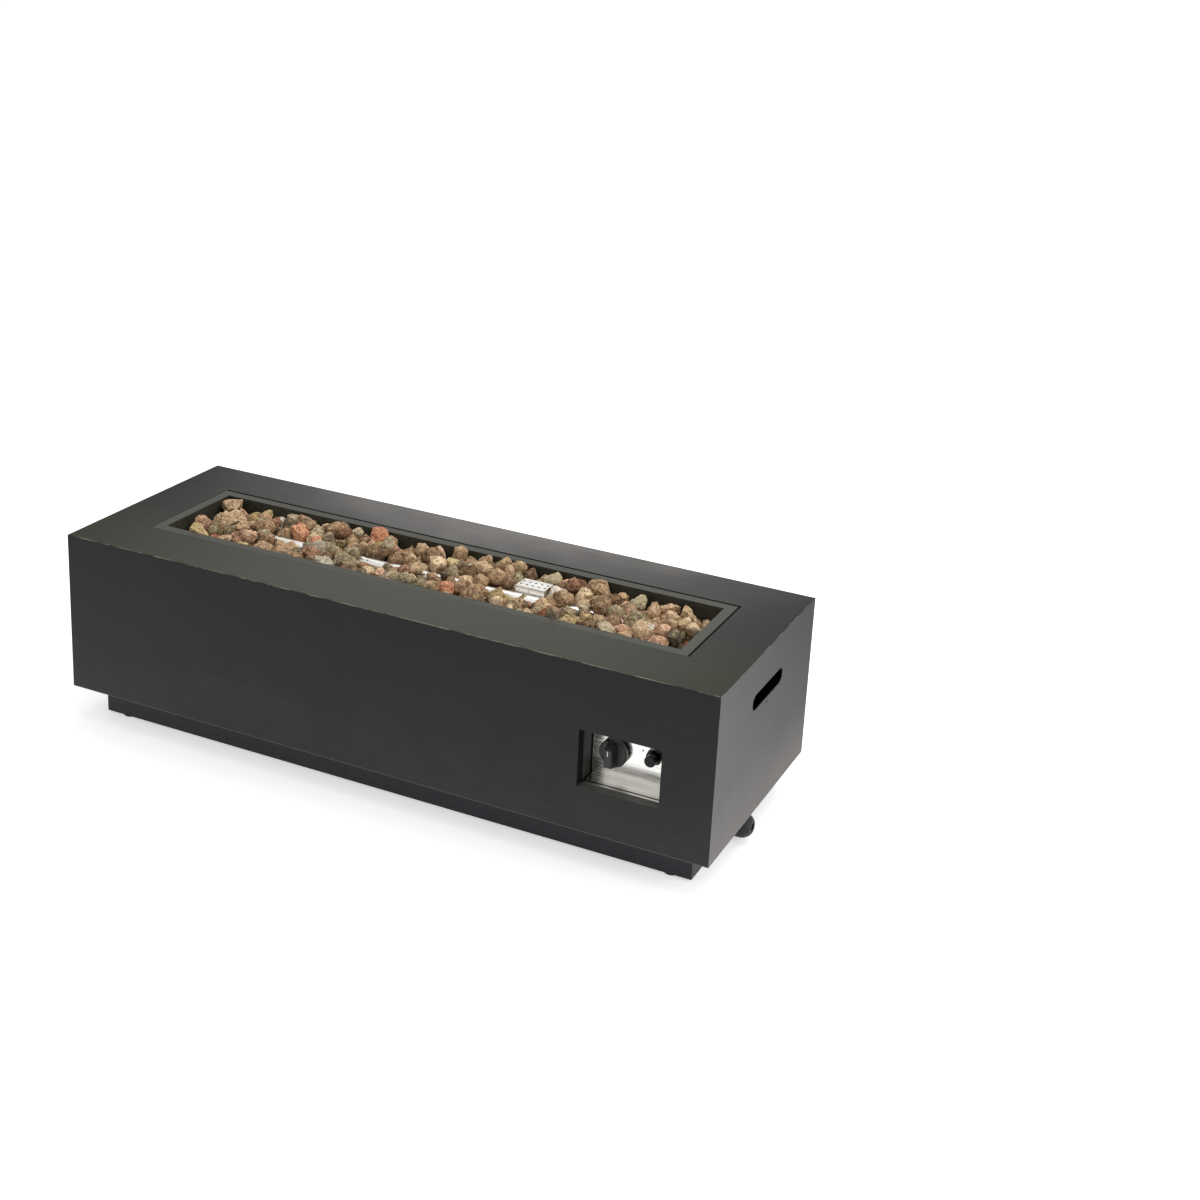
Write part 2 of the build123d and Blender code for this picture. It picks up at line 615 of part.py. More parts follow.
# Cradles that stand on the pan floor under the tube
with BuildPart() as burner_stands:
    for side in (-1, 1):
        stand_x = side * (burner_length / 2 - STAND_INSET)
        with BuildSketch(Plane.YZ.offset(stand_x - STAND_THICKNESS / 2)):
            with Locations((0, (floor_z + burner_z - STAND_TOP_DROP) / 2)):
                Rectangle(STAND_WIDTH, burner_z - STAND_TOP_DROP - floor_z)
            with Locations((0, burner_z)):
                Circle(BURNER_RADIUS + SEAT_GAP, mode=Mode.SUBTRACT)
        extrude(amount=STAND_THICKNESS)
        with BuildSketch(Plane.XY.offset(floor_z)):
            with Locations((stand_x, 0)):
                Rectangle(STAND_FOOT, STAND_WIDTH)
        extrude(amount=STAND_THICKNESS)
burner_stands.part.label = "burner_stands"
export_step(burner_stands.part, "parts/burner_stands.step")

# Feed pipe with a saddle top, a flange on the pan floor and air windows under the pan
with BuildPart() as air_mixer:
    with BuildSketch(Plane.XY.offset(mixer_bottom_z)):
        Circle(MIXER_RADIUS)
    extrude(amount=burner_z - mixer_bottom_z)
    with BuildSketch(Plane.XY.offset(floor_z)):
        Circle(MIXER_FLANGE_RADIUS)
    extrude(amount=MIXER_FLANGE_THICKNESS)
    with BuildSketch(Plane.XY.offset(mixer_bottom_z)):
        Circle(MIXER_BORE_RADIUS)
    extrude(amount=burner_z - mixer_bottom_z, mode=Mode.SUBTRACT)
    with BuildSketch(Plane.YZ.offset(-burner_length / 2)):
        with Locations((0, burner_z)):
            Circle(BURNER_RADIUS + SEAT_GAP)
    extrude(amount=burner_length, mode=Mode.SUBTRACT)
    for window_plane in (Plane.XZ, Plane.YZ):
        with BuildSketch(window_plane):
            with Locations((0, mixer_bottom_z + MIXER_WINDOW_RISE)):
                SlotOverall(MIXER_WINDOW_HEIGHT, MIXER_WINDOW_WIDTH, rotation=90)
        extrude(amount=MIXER_RADIUS + CUT_OVERRUN, both=True, mode=Mode.SUBTRACT)
air_mixer.part.label = "air_mixer"
export_step(air_mixer.part, "parts/air_mixer.step")

with BuildPart() as mixer_locknut:
    with BuildSketch(Plane.XY.offset(pan_under_z)):
        RegularPolygon(LOCKNUT_RADIUS, 6)
        Circle(MIXER_RADIUS + SEAT_GAP, mode=Mode.SUBTRACT)
    extrude(amount=-LOCKNUT_THICKNESS)
mixer_locknut.part.label = "mixer_locknut"
export_step(mixer_locknut.part, "parts/mixer_locknut.step")

# Jet: spigot and nozzle inside the mixer, hexagon under it, flare thread for the line
with BuildPart() as orifice_fitting:
    with BuildSketch(Plane.XY.offset(mixer_bottom_z)):
        Circle(MIXER_BORE_RADIUS - SEAT_GAP)
    extrude(amount=JET_SPIGOT_HEIGHT)
    with BuildSketch(Plane.XY.offset(mixer_bottom_z + JET_SPIGOT_HEIGHT)):
        Circle(JET_NOZZLE_RADIUS)
    extrude(amount=JET_NOZZLE_HEIGHT)
    with BuildSketch(Plane.XY.offset(mixer_bottom_z)):
        RegularPolygon(JET_HEX_RADIUS, 6)
    extrude(amount=-JET_HEX_HEIGHT)
    with BuildSketch(Plane.XY.offset(mixer_bottom_z - JET_HEX_HEIGHT)):
        Circle(FLARE_RADIUS)
    extrude(amount=-FLARE_LENGTH)
    with BuildSketch(Plane.XY.offset(mixer_bottom_z - JET_HEX_HEIGHT - FLARE_LENGTH)):
        Circle(FLARE_BORE_RADIUS)
    extrude(amount=FLARE_LENGTH + JET_HEX_HEIGHT, mode=Mode.SUBTRACT)
    with BuildSketch(Plane.XY.offset(mixer_bottom_z)):
        Circle(JET_BORE_RADIUS)
    extrude(amount=JET_SPIGOT_HEIGHT + JET_NOZZLE_HEIGHT + CUT_OVERRUN, mode=Mode.SUBTRACT)
orifice_fitting.part.label = "orifice_fitting"
export_step(orifice_fitting.part, "parts/orifice_fitting.step")

# Perforated hood: top sheet with aprons front and back, legs at its ends standing on the pan floor
with BuildPart() as ignition_guard:
    with BuildSketch(Plane.XY.offset(guard_top_z)):
        with Locations((GUARD_X, guard_y)):
            Rectangle(GUARD_LENGTH, GUARD_DEPTH)
    extrude(amount=-GUARD_SHEET)
    with BuildSketch(Plane.XY.offset(guard_top_z)):
        with Locations((GUARD_X, guard_y)):
            with GridLocations(0, GUARD_DEPTH - GUARD_SHEET, 1, 2):
                Rectangle(GUARD_LENGTH, GUARD_SHEET)
    extrude(amount=-GUARD_FOLD)
    with BuildSketch(Plane.XY.offset(floor_z)):
        with Locations((GUARD_X, guard_y)):
            with GridLocations(GUARD_LENGTH - GUARD_SHEET, 0, 2, 1):
                Rectangle(GUARD_SHEET, GUARD_DEPTH)
    extrude(amount=guard_top_z - floor_z)
    with BuildSketch(Plane.XY.offset(floor_z)):
        with Locations((GUARD_X, guard_y)):
            with GridLocations(GUARD_LENGTH - GUARD_FOOT, 0, 2, 1):
                Rectangle(GUARD_FOOT, GUARD_DEPTH)
    extrude(amount=GUARD_SHEET)
    with BuildSketch(Plane.XY.offset(guard_top_z)):
        with Locations((GUARD_X, guard_y)):
            with GridLocations(GUARD_HOLE_PITCH_X, GUARD_HOLE_PITCH_Y, GUARD_COLUMN_COUNT, GUARD_ROW_COUNT):
                Circle(GUARD_HOLE_RADIUS)
    extrude(amount=-(GUARD_SHEET + CUT_OVERRUN), mode=Mode.SUBTRACT)
    with BuildSketch(Plane.YZ.offset(GUARD_X)):
        with Locations((guard_y, (floor_z + guard_top_z) / 2)):
            with GridLocations(GUARD_HOLE_PITCH_Y, 0, GUARD_WALL_HOLE_COUNT, 1):
                Circle(GUARD_HOLE_RADIUS)
    extrude(amount=GUARD_LENGTH / 2 + CUT_OVERRUN, both=True, mode=Mode.SUBTRACT)
ignition_guard.part.label = "ignition_guard"
export_step(ignition_guard.part, "parts/ignition_guard.step")

# Folded shelf inside the hood, with the electrode and the thermocouple through it
with BuildPart() as pilot_bracket:
    shelf_back_y = guard_y + PILOT_SHELF_DEPTH / 2
    with BuildSketch(Plane.XY.offset(pilot_shelf_z)):
        with Locations((GUARD_X, guard_y)):
            Rectangle(PILOT_SHELF_LENGTH, PILOT_SHELF_DEPTH)
        with Locations((pilot_x_places[0], guard_y)):
            Circle(ELECTRODE_RADIUS + SEAT_GAP, mode=Mode.SUBTRACT)
        with Locations((pilot_x_places[1], guard_y)):
            Circle(THERMOCOUPLE_RADIUS + SEAT_GAP, mode=Mode.SUBTRACT)
    extrude(amount=-GUARD_SHEET)
    with BuildSketch(Plane.XY.offset(floor_z)):
        with Locations((GUARD_X, shelf_back_y - GUARD_SHEET / 2)):
            Rectangle(PILOT_SHELF_LENGTH, GUARD_SHEET)
    extrude(amount=PILOT_SHELF_RISE)
pilot_bracket.part.label = "pilot_bracket"
export_step(pilot_bracket.part, "parts/pilot_bracket.step")

with BuildPart() as electrode:
    with BuildSketch(Plane.XY.offset(pan_under_z - SENSOR_TAIL)):
        with Locations((pilot_x_places[0], guard_y)):
            Circle(ELECTRODE_RADIUS)
    extrude(amount=pilot_shelf_z + ELECTRODE_RISE - pan_under_z + SENSOR_TAIL)
    with BuildSketch(Plane.XY.offset(pilot_shelf_z)):
        with Locations((pilot_x_places[0], guard_y)):
            Circle(SENSOR_COLLAR_RADIUS)
    extrude(amount=SENSOR_COLLAR_HEIGHT)
    with BuildSketch(Plane.XY.offset(pilot_shelf_z + ELECTRODE_RISE)):
        with Locations((pilot_x_places[0], guard_y)):
            Circle(ELECTRODE_TIP_RADIUS)
    extrude(amount=ELECTRODE_TIP_HEIGHT)
electrode.part.label = "electrode"
export_step(electrode.part, "parts/electrode.step")

with BuildPart() as thermocouple:
    with BuildSketch(Plane.XY.offset(pan_under_z - SENSOR_TAIL)):
        with Locations((pilot_x_places[1], guard_y)):
            Circle(THERMOCOUPLE_RADIUS)
    extrude(amount=pilot_shelf_z + THERMOCOUPLE_RISE - pan_under_z + SENSOR_TAIL)
    with BuildSketch(Plane.XY.offset(pilot_shelf_z)):
        with Locations((pilot_x_places[1], guard_y)):
            Circle(SENSOR_COLLAR_RADIUS)
    extrude(amount=SENSOR_COLLAR_HEIGHT)
    fillet(thermocouple.edges().group_by(Axis.Z)[-1], radius=THERMOCOUPLE_RADIUS / 2)
thermocouple.part.label = "thermocouple"
export_step(thermocouple.part, "parts/thermocouple.step")

# Lava stones: one layer that stands on the pan floor, in rows along both sides of the burner
stone_random = random.Random(STONE_SEED)
stone_clear = STAND_WIDTH / 2 + STONE_BURNER_GAP
row_pitch = (floor_depth / 2 - stone_clear) / STONE_ROW_COUNT
column_count = int(floor_length // STONE_PITCH)
column_pitch = floor_length / column_count
stone_radius = min(row_pitch, column_pitch) / 2 - STONE_GAP


def lava_stone():
    """Convex stone: an uneven prism on the floor, trimmed by flats that lean in at its top and its foot."""
    height = stone_random.uniform(STONE_MIN_HEIGHT, STONE_MAX_HEIGHT)
    corners = []
    for corner in range(STONE_SIDE_COUNT):
        bearing = 2 * math.pi * corner / STONE_SIDE_COUNT
        corner_radius = stone_radius * stone_random.uniform(*STONE_RADIUS_SHARES)
        corners.append((corner_radius * math.cos(bearing), corner_radius * math.sin(bearing)))
    middle = Vector(0, 0, height / 2)
    with BuildPart() as stone:
        with BuildSketch():
            Polygon(*corners, align=None)
        extrude(amount=height)
        for count, tilt in ((STONE_UPPER_FLAT_COUNT, 1), (STONE_LOWER_FLAT_COUNT, -1)):
            start = stone_random.uniform(0, 2 * math.pi)
            for step in range(count):
                bearing = start + 2 * math.pi * step / count
                rise = tilt * math.radians(stone_random.uniform(*STONE_FLAT_ANGLES))
                flat_share = stone_random.uniform(*STONE_FLAT_SHARES)
                normal = Vector(
                    math.cos(bearing) * math.cos(rise), math.sin(bearing) * math.cos(rise), math.sin(rise)
                )
                reach = flat_share * math.hypot(stone_radius * math.cos(rise), height * math.sin(rise))
                split(bisect_by=Plane(origin=middle + normal * reach, z_dir=normal), keep=Keep.BOTTOM)
    return stone.part


def clear_of_guard(x, y):
    """True where a stone's cell keeps off the ignition hood."""
    off_x = abs(x - GUARD_X) > GUARD_LENGTH / 2 + stone_radius
    off_y = abs(y - guard_y) > GUARD_DEPTH / 2 + stone_radius
    return off_x or off_y


stone_shapes = [lava_stone() for _ in range(STONE_SHAPE_COUNT)]
stones = []
for column in range(column_count):
    for row in range(STONE_ROW_COUNT):
        for side in (-1, 1):
            stone_x = (column + 0.5) * column_pitch - floor_length / 2
            stone_y = side * (stone_clear + (row + 0.5) * row_pitch)
            shape = stone_random.choice(stone_shapes)
            turn = stone_random.uniform(0, 360)
            if clear_of_guard(stone_x, stone_y):
                stones.append(shape.moved(Location((stone_x, stone_y, floor_z), (0, 0, turn))))
with BuildPart() as lava_rocks:
    add(stones)
lava_rocks.part.label = "lava_rocks"
export_step(lava_rocks.part, "parts/lava_rocks.step")

# Bright trim inside the rear edge of the return, and the gasket behind that edge
with BuildPart() as recess_trim:
    with BuildSketch(window_face.offset(-RETURN_DEPTH)):
        Rectangle(WINDOW_LENGTH, WINDOW_HEIGHT)
        Rectangle(box_length, box_height, mode=Mode.SUBTRACT)
    extrude(amount=TRIM_DEPTH)
recess_trim.part.label = "recess_trim"
export_step(recess_trim.part, "parts/recess_trim.step")

with BuildPart() as recess_gasket:
    with BuildSketch(window_face.offset(-RETURN_DEPTH)):
        Rectangle(plate_length, plate_height)
        Rectangle(box_length, box_height, mode=Mode.SUBTRACT)
    extrude(amount=-GASKET_THICKNESS)
recess_gasket.part.label = "recess_gasket"
export_step(recess_gasket.part, "parts/recess_gasket.step")

# Bright liner of the recess, with a flange at its front and one at its back
with BuildPart() as control_box:
    box_front = window_face.offset(-(RETURN_DEPTH + GASKET_THICKNESS))
    with BuildSketch(box_front):
        Rectangle(plate_length, plate_height)
    extrude(amount=-BOX_SHEET)
    with BuildSketch(plate_face):
        Rectangle(plate_length, plate_height)
    extrude(amount=BOX_SHEET)
    with BuildSketch(box_front):
        Rectangle(box_length + 2 * BOX_SHEET, box_height + 2 * BOX_SHEET)
    extrude(amount=-BOX_DEPTH)
    with BuildSketch(box_front):
        Rectangle(box_length, box_height)
    extrude(amount=-BOX_DEPTH, mode=Mode.SUBTRACT)
    with BuildSketch(plate_face.offset(BOX_SHEET)):
        with GridLocations(screw_span_x, screw_span_z, 2, 2):
            Circle(PLATE_SCREW_RADIUS + SEAT_GAP)
    extrude(amount=-(BOX_SHEET + CUT_OVERRUN), mode=Mode.SUBTRACT)
control_box.part.label = "control_box"
export_step(control_box.part, "parts/control_box.step")

with BuildPart() as control_plate:
    with BuildSketch(plate_face):
        Rectangle(plate_length, plate_height)
        with Locations((KNOB_OFFSET_X, KNOB_OFFSET_Z)):
            Circle(NECK_RADIUS + SEAT_GAP, mode=Mode.SUBTRACT)
        with Locations((IGNITER_OFFSET_X, IGNITER_OFFSET_Z)):
            Circle(IGNITER_NECK_RADIUS + SEAT_GAP, mode=Mode.SUBTRACT)
        with GridLocations(screw_span_x, screw_span_z, 2, 2):
            Circle(PLATE_SCREW_RADIUS + SEAT_GAP, mode=Mode.SUBTRACT)
    extrude(amount=-PLATE_SHEET)
control_plate.part.label = "control_plate"
export_step(control_plate.part, "parts/control_plate.step")

with BuildPart() as control_plate_screws:
    with BuildSketch(plate_face.offset(BOX_SHEET)):
        with GridLocations(screw_span_x, screw_span_z, 2, 2):
            Circle(PLATE_SCREW_HEAD_RADIUS)
    extrude(amount=PLATE_SCREW_HEAD_HEIGHT)
    with BuildSketch(plate_face.offset(BOX_SHEET)):
        with GridLocations(screw_span_x, screw_span_z, 2, 2):
            Circle(PLATE_SCREW_RADIUS)
    extrude(amount=-(BOX_SHEET + PLATE_SHEET + PLATE_SCREW_TAIL))
control_plate_screws.part.label = "control_plate_screws"
export_step(control_plate_screws.part, "parts/control_plate_screws.step")

# Gas valve, all measured along the knob's axis: positive towards the front, zero at the plate's face
bonnet_front = -PLATE_SHEET
valve_front = bonnet_front - BONNET_THICKNESS
bore_depth = VALVE_LENGTH - VALVE_END_WALL
rotor_front = valve_front - ROTOR_PLAY
rotor_length = bore_depth - 2 * ROTOR_PLAY
port_level = rotor_front - rotor_length + ROTOR_PORT_INSET
port_y = plate_y - port_level

with BuildPart() as valve_bonnet:
    with BuildSketch(knob_face.offset(bonnet_front)):
        RectangleRounded(BONNET_SIZE, BONNET_SIZE, BONNET_CORNER)
    extrude(amount=-BONNET_THICKNESS)
    with BuildSketch(knob_face.offset(bonnet_front)):
        Circle(NECK_RADIUS)
    extrude(amount=NECK_REACH - bonnet_front)
    with BuildSketch(knob_face.offset(NECK_REACH)):
        Circle(STEM_RADIUS + RUNNING_GAP)
    extrude(amount=-(NECK_REACH - valve_front + CUT_OVERRUN), mode=Mode.SUBTRACT)
valve_bonnet.part.label = "valve_bonnet"
export_step(valve_bonnet.part, "parts/valve_bonnet.step")

with BuildPart() as valve_neck_nut:
    with BuildSketch(knob_face):
        RegularPolygon(NECK_NUT_RADIUS, 6)
        Circle(NECK_RADIUS + SEAT_GAP, mode=Mode.SUBTRACT)
    extrude(amount=NECK_NUT_THICKNESS)
valve_neck_nut.part.label = "valve_neck_nut"
export_step(valve_neck_nut.part, "parts/valve_neck_nut.step")

inlet_plane = Plane(origin=(knob_x, port_y, knob_z - VALVE_PORT_REACH), x_dir=(1, 0, 0), z_dir=(0, 0, -1))
outlet_plane = Plane(origin=(knob_x - VALVE_PORT_REACH, port_y, knob_z), x_dir=(0, 1, 0), z_dir=(-1, 0, 0))
with BuildPart() as gas_valve:
    with BuildSketch(knob_face.offset(valve_front)):
        Circle(VALVE_RADIUS)
    extrude(amount=-VALVE_LENGTH)
    for port_plane in (inlet_plane, outlet_plane):
        with BuildSketch(port_plane):
            Circle(VALVE_BOSS_RADIUS)
        extrude(amount=-VALVE_PORT_REACH)
    with BuildSketch(knob_face.offset(valve_front)):
        Circle(ROTOR_RADIUS + RUNNING_GAP)
    extrude(amount=-bore_depth, mode=Mode.SUBTRACT)
    for port_plane in (inlet_plane, outlet_plane):
        with BuildSketch(port_plane):
            Circle(VALVE_PORT_RADIUS)
        extrude(amount=-VALVE_PORT_REACH, mode=Mode.SUBTRACT)
gas_valve.part.label = "gas_valve"
export_step(gas_valve.part, "parts/gas_valve.step")


def flare_nipple(port_plane):
    """Brass nipple on a port boss: a hexagon, then the flare thread with its bore."""
    with BuildPart() as nipple:
        with BuildSketch(port_plane):
            RegularPolygon(NIPPLE_HEX_RADIUS, 6)
        extrude(amount=NIPPLE_HEX_HEIGHT)
        with BuildSketch(port_plane.offset(NIPPLE_HEX_HEIGHT)):
            Circle(FLARE_RADIUS)
        extrude(amount=FLARE_LENGTH)
        with BuildSketch(port_plane):
            Circle(FLARE_BORE_RADIUS)
        extrude(amount=NIPPLE_HEX_HEIGHT + FLARE_LENGTH + CUT_OVERRUN, mode=Mode.SUBTRACT)
    return nipple


for port_name, port_plane in (("valve_inlet", inlet_plane), ("valve_outlet", outlet_plane)):
    nipple = flare_nipple(port_plane)
    nipple.part.label = port_name
    export_step(nipple.part, f"parts/{port_name}.step")

# Rotor with a square socket for the stem and an angled gas way that lines up after a quarter turn
with BuildPart() as valve_rotor:
    with BuildSketch(knob_face.offset(rotor_front)):
        Circle(ROTOR_RADIUS)
    extrude(amount=-rotor_length)
    with BuildSketch(knob_face.offset(rotor_front)):
        Circle(ROTOR_COUNTERBORE_RADIUS)
    extrude(amount=-ROTOR_COUNTERBORE_DEPTH, mode=Mode.SUBTRACT)
    with BuildSketch(knob_face.offset(rotor_front)):
        Rectangle(STEM_TANG + 2 * STEM_TANG_GAP, STEM_TANG + 2 * STEM_TANG_GAP)
    extrude(amount=-ROTOR_SOCKET_DEPTH, mode=Mode.SUBTRACT)
    for gas_way in ((-1, 0, 0), (0, 0, 1)):
        with BuildSketch(Plane(origin=(knob_x, port_y, knob_z), z_dir=gas_way)):
            Circle(ROTOR_PORT_RADIUS)
        extrude(amount=ROTOR_RADIUS + CUT_OVERRUN, mode=Mode.SUBTRACT)
valve_rotor.part.label = "valve_rotor"
export_step(valve_rotor.part, "parts/valve_rotor.step")

# Stem: tang in the rotor, collar behind the bonnet, shank with a flat inside the knob
knob_back = KNOB_STANDOFF
hollow_depth = NECK_REACH + KNOB_TRAVEL + TRAVEL_GAP - KNOB_STANDOFF
hollow_end = knob_back + hollow_depth
stem_end = hollow_end + STEM_GRIP
collar_front = rotor_front - ROTOR_PLAY
with BuildPart() as valve_stem:
    with BuildSketch(knob_face.offset(stem_end)):
        Circle(STEM_RADIUS)
    extrude(amount=-(stem_end - collar_front))
    with BuildSketch(knob_face.offset(collar_front)):
        Circle(STEM_COLLAR_RADIUS)
    extrude(amount=-STEM_COLLAR_LENGTH)
    with BuildSketch(knob_face.offset(collar_front)):
        Rectangle(STEM_TANG, STEM_TANG)
    extrude(amount=-(STEM_TANG_DEPTH - ROTOR_PLAY))
    with BuildSketch(knob_face.offset(hollow_end)):
        with Locations((0, STEM_RADIUS)):
            Rectangle(2 * STEM_RADIUS, 2 * STEM_FLAT)
    extrude(amount=STEM_GRIP + CUT_OVERRUN, mode=Mode.SUBTRACT)
valve_stem.part.label = "valve_stem"
export_step(valve_stem.part, "parts/valve_stem.step")

# Knob: round skirt with a raised, narrowing grip bar across it, hollow behind, bored for the stem's flat
with BuildPart() as control_knob:
    with BuildSketch(knob_face.offset(knob_back)):
        Circle(KNOB_RADIUS)
    extrude(amount=KNOB_SKIRT)
    chamfer(control_knob.faces().sort_by(Axis.Y)[0].edges(), length=KNOB_EDGE)
    with BuildSketch(knob_face.offset(knob_back + KNOB_SKIRT)):
        Rectangle(KNOB_GRIP_WIDTH, KNOB_GRIP_LENGTH)
    with BuildSketch(knob_face.offset(knob_back + KNOB_DEPTH)):
        Rectangle(KNOB_GRIP_FRONT_WIDTH, KNOB_GRIP_FRONT_LENGTH)
    loft()
    chamfer(control_knob.faces().sort_by(Axis.Y)[0].edges(), length=KNOB_GRIP_EDGE)
    with BuildSketch(knob_face.offset(knob_back)):
        Circle(KNOB_HOLLOW_RADIUS)
    extrude(amount=hollow_depth, mode=Mode.SUBTRACT)
    with BuildSketch(knob_face.offset(hollow_end)):
        Circle(STEM_RADIUS + RUNNING_GAP)
        with Locations((0, STEM_RADIUS + RUNNING_GAP)):
            Rectangle(2 * (STEM_RADIUS + RUNNING_GAP), 2 * STEM_FLAT, mode=Mode.SUBTRACT)
    extrude(amount=STEM_GRIP, mode=Mode.SUBTRACT)
control_knob.part.label = "control_knob"
export_step(control_knob.part, "parts/control_knob.step")

# Igniter, measured along its own axis from the plate's face
button_back = IGNITER_NECK_REACH + BUTTON_TRAVEL + TRAVEL_GAP
stem_inner_end = button_back - BUTTON_STEM_LENGTH
guide_end = stem_inner_end - BUTTON_TRAVEL - TRAVEL_GAP
battery_front = guide_end - BATTERY_TIP_HEIGHT
battery_back = battery_front - BATTERY_LENGTH
igniter_back = battery_back - IGNITER_END_WALL
with BuildPart() as igniter_module:
    with BuildSketch(igniter_face.offset(-PLATE_SHEET)):
        Circle(IGNITER_BODY_RADIUS)
    extrude(amount=igniter_back + PLATE_SHEET)
    with BuildSketch(igniter_face.offset(-PLATE_SHEET)):
        Circle(IGNITER_NECK_RADIUS)
    extrude(amount=PLATE_SHEET + IGNITER_NECK_REACH)
    with BuildSketch(igniter_face.offset(igniter_back)):
        Circle(IGNITER_TERMINAL_RADIUS)
    extrude(amount=-IGNITER_TERMINAL_LENGTH)
    with BuildSketch(igniter_face.offset(guide_end)):
        Circle(BUTTON_STEM_RADIUS + RUNNING_GAP)
    extrude(amount=IGNITER_NECK_REACH - guide_end, mode=Mode.SUBTRACT)
    with BuildSketch(igniter_face.offset(battery_back)):
        Circle(BATTERY_RADIUS + BATTERY_GAP)
    extrude(amount=guide_end - battery_back, mode=Mode.SUBTRACT)
igniter_module.part.label = "igniter_module"
export_step(igniter_module.part, "parts/igniter_module.step")

with BuildPart() as igniter_nut:
    with BuildSketch(igniter_face):
        RegularPolygon(IGNITER_NUT_RADIUS, 8)
    extrude(amount=IGNITER_NUT_HEIGHT)
    chamfer(igniter_nut.faces().sort_by(Axis.Y)[0].edges(), length=IGNITER_NUT_CHAMFER)
    with BuildSketch(igniter_face):
        Circle(IGNITER_NECK_RADIUS + SEAT_GAP)
    extrude(amount=IGNITER_NUT_HEIGHT, mode=Mode.SUBTRACT)
igniter_nut.part.label = "igniter_nut"
export_step(igniter_nut.part, "parts/igniter_nut.step")

with BuildPart() as igniter_button:
    with BuildSketch(igniter_face.offset(button_back)):
        Circle(BUTTON_RADIUS)
    extrude(amount=BUTTON_LENGTH)
    fillet(igniter_button.faces().sort_by(Axis.Y)[0].edges(), radius=BUTTON_EDGE)
    with BuildSketch(igniter_face.offset(button_back)):
        Circle(BUTTON_STEM_RADIUS)
    extrude(amount=-BUTTON_STEM_LENGTH)
igniter_button.part.label = "igniter_button"
export_step(igniter_button.part, "parts/igniter_button.step")

with BuildPart() as igniter_battery:
    with BuildSketch(igniter_face.offset(battery_front)):
        Circle(BATTERY_RADIUS)
    extrude(amount=-BATTERY_LENGTH)
    with BuildSketch(igniter_face.offset(battery_front)):
        Circle(BATTERY_TIP_RADIUS)
    extrude(amount=BATTERY_TIP_HEIGHT)
igniter_battery.part.label = "igniter_battery"
export_step(igniter_battery.part, "parts/igniter_battery.step")

# Sheet over the controls, with its edges turned down against the front and back panels
shield_z = pan_under_z - SHIELD_DROP
with BuildPart() as heat_shield:
    with BuildSketch(Plane.XY.offset(shield_z)):
        with Locations((window_x, 0)):
            Rectangle(SHIELD_LENGTH, 2 * inner_half_depth)
    extrude(amount=SHEET)
    with BuildSketch(Plane.XY.offset(shield_z)):
        with Locations((window_x, 0)):
            with GridLocations(0, 2 * inner_half_depth - SHEET, 1, 2):
                Rectangle(SHIELD_LENGTH, SHEET)
    extrude(amount=-SHIELD_FLANGE)
heat_shield.part.label = "heat_shield"
export_step(heat_shield.part, "parts/heat_shield.step")

# Routes of the line and the two leads, all inside the casing
jet_end = (0, 0, mixer_bottom_z - JET_HEX_HEIGHT - FLARE_LENGTH)
outlet_end = (knob_x - VALVE_PORT_REACH - NIPPLE_HEX_HEIGHT - FLARE_LENGTH, port_y, knob_z)
jet_z = jet_end[2]
outlet_x = outlet_end[0]
burner_route = [
    jet_end,
    (0, 0, jet_z - LINE_BEND),
    (LINE_BEND, -LINE_LEAN, jet_z - LINE_SAG),
    (outlet_x - LINE_RUN_IN, port_y, knob_z - LINE_LEAN),
    (outlet_x - LINE_BEND, port_y, knob_z),
    outlet_end,
]
igniter_back_y = plate_y - igniter_back + IGNITER_TERMINAL_LENGTH
sensor_end_z = pan_under_z - SENSOR_TAIL
electrode_x, thermocouple_x = pilot_x_places
igniter_route = [
    (igniter_x, igniter_back_y, igniter_z),
    (igniter_x, igniter_back_y + LEAD_BEND, igniter_z),
    (igniter_x - LEAD_BEND, igniter_back_y + 2 * LEAD_BEND, igniter_z - LEAD_LEAN),
    (electrode_x + LEAD_BEND, guard_y, sensor_end_z - IGNITER_LEAD_SAG),
    (electrode_x, guard_y, sensor_end_z - LEAD_BEND),
    (electrode_x, guard_y, sensor_end_z),
]
valve_back_y = plate_y - valve_front + VALVE_LENGTH
thermocouple_route = [
    (knob_x, valve_back_y, knob_z),
    (knob_x, valve_back_y + LEAD_BEND, knob_z),
    (knob_x - LEAD_BEND, valve_back_y + 2 * LEAD_BEND, knob_z + LEAD_LEAN),
    (thermocouple_x + LEAD_BEND, guard_y, sensor_end_z - THERMOCOUPLE_LEAD_SAG),
    (thermocouple_x, guard_y, sensor_end_z - LEAD_LEAN),
    (thermocouple_x, guard_y, sensor_end_z),
]


def routed_tube(points, radius, bore=0):
    """Tube along straight runs joined by the largest tangent arcs."""
    radii = route_radii(points)
    print("route radii", [round(value, 1) for value in radii])
    with BuildPart() as tube:
        with BuildLine() as path:
            FilletPolyline(*points, radius=radii)
        with BuildSketch(Plane(origin=path.wire() @ 0, z_dir=path.wire() % 0)):
            Circle(radius)
            if bore:
                Circle(bore, mode=Mode.SUBTRACT)
        sweep()
    swept = math.pi * (radius**2 - bore**2) * path.wire().length
    print("tube volume over section times length", round(tube.part.volume / swept, 4))
    return tube


routes = (
    ("burner_line", burner_route, LINE_RADIUS, LINE_BORE_RADIUS),
    ("igniter_lead", igniter_route, IGNITER_LEAD_RADIUS, 0),
    ("thermocouple_lead", thermocouple_route, THERMOCOUPLE_LEAD_RADIUS, 0),
)
for route_name, route_points, route_radius, route_bore in routes:
    tube = routed_tube(route_points, route_radius, route_bore)
    tube.part.label = route_name
    export_step(tube.part, f"parts/{route_name}.step")

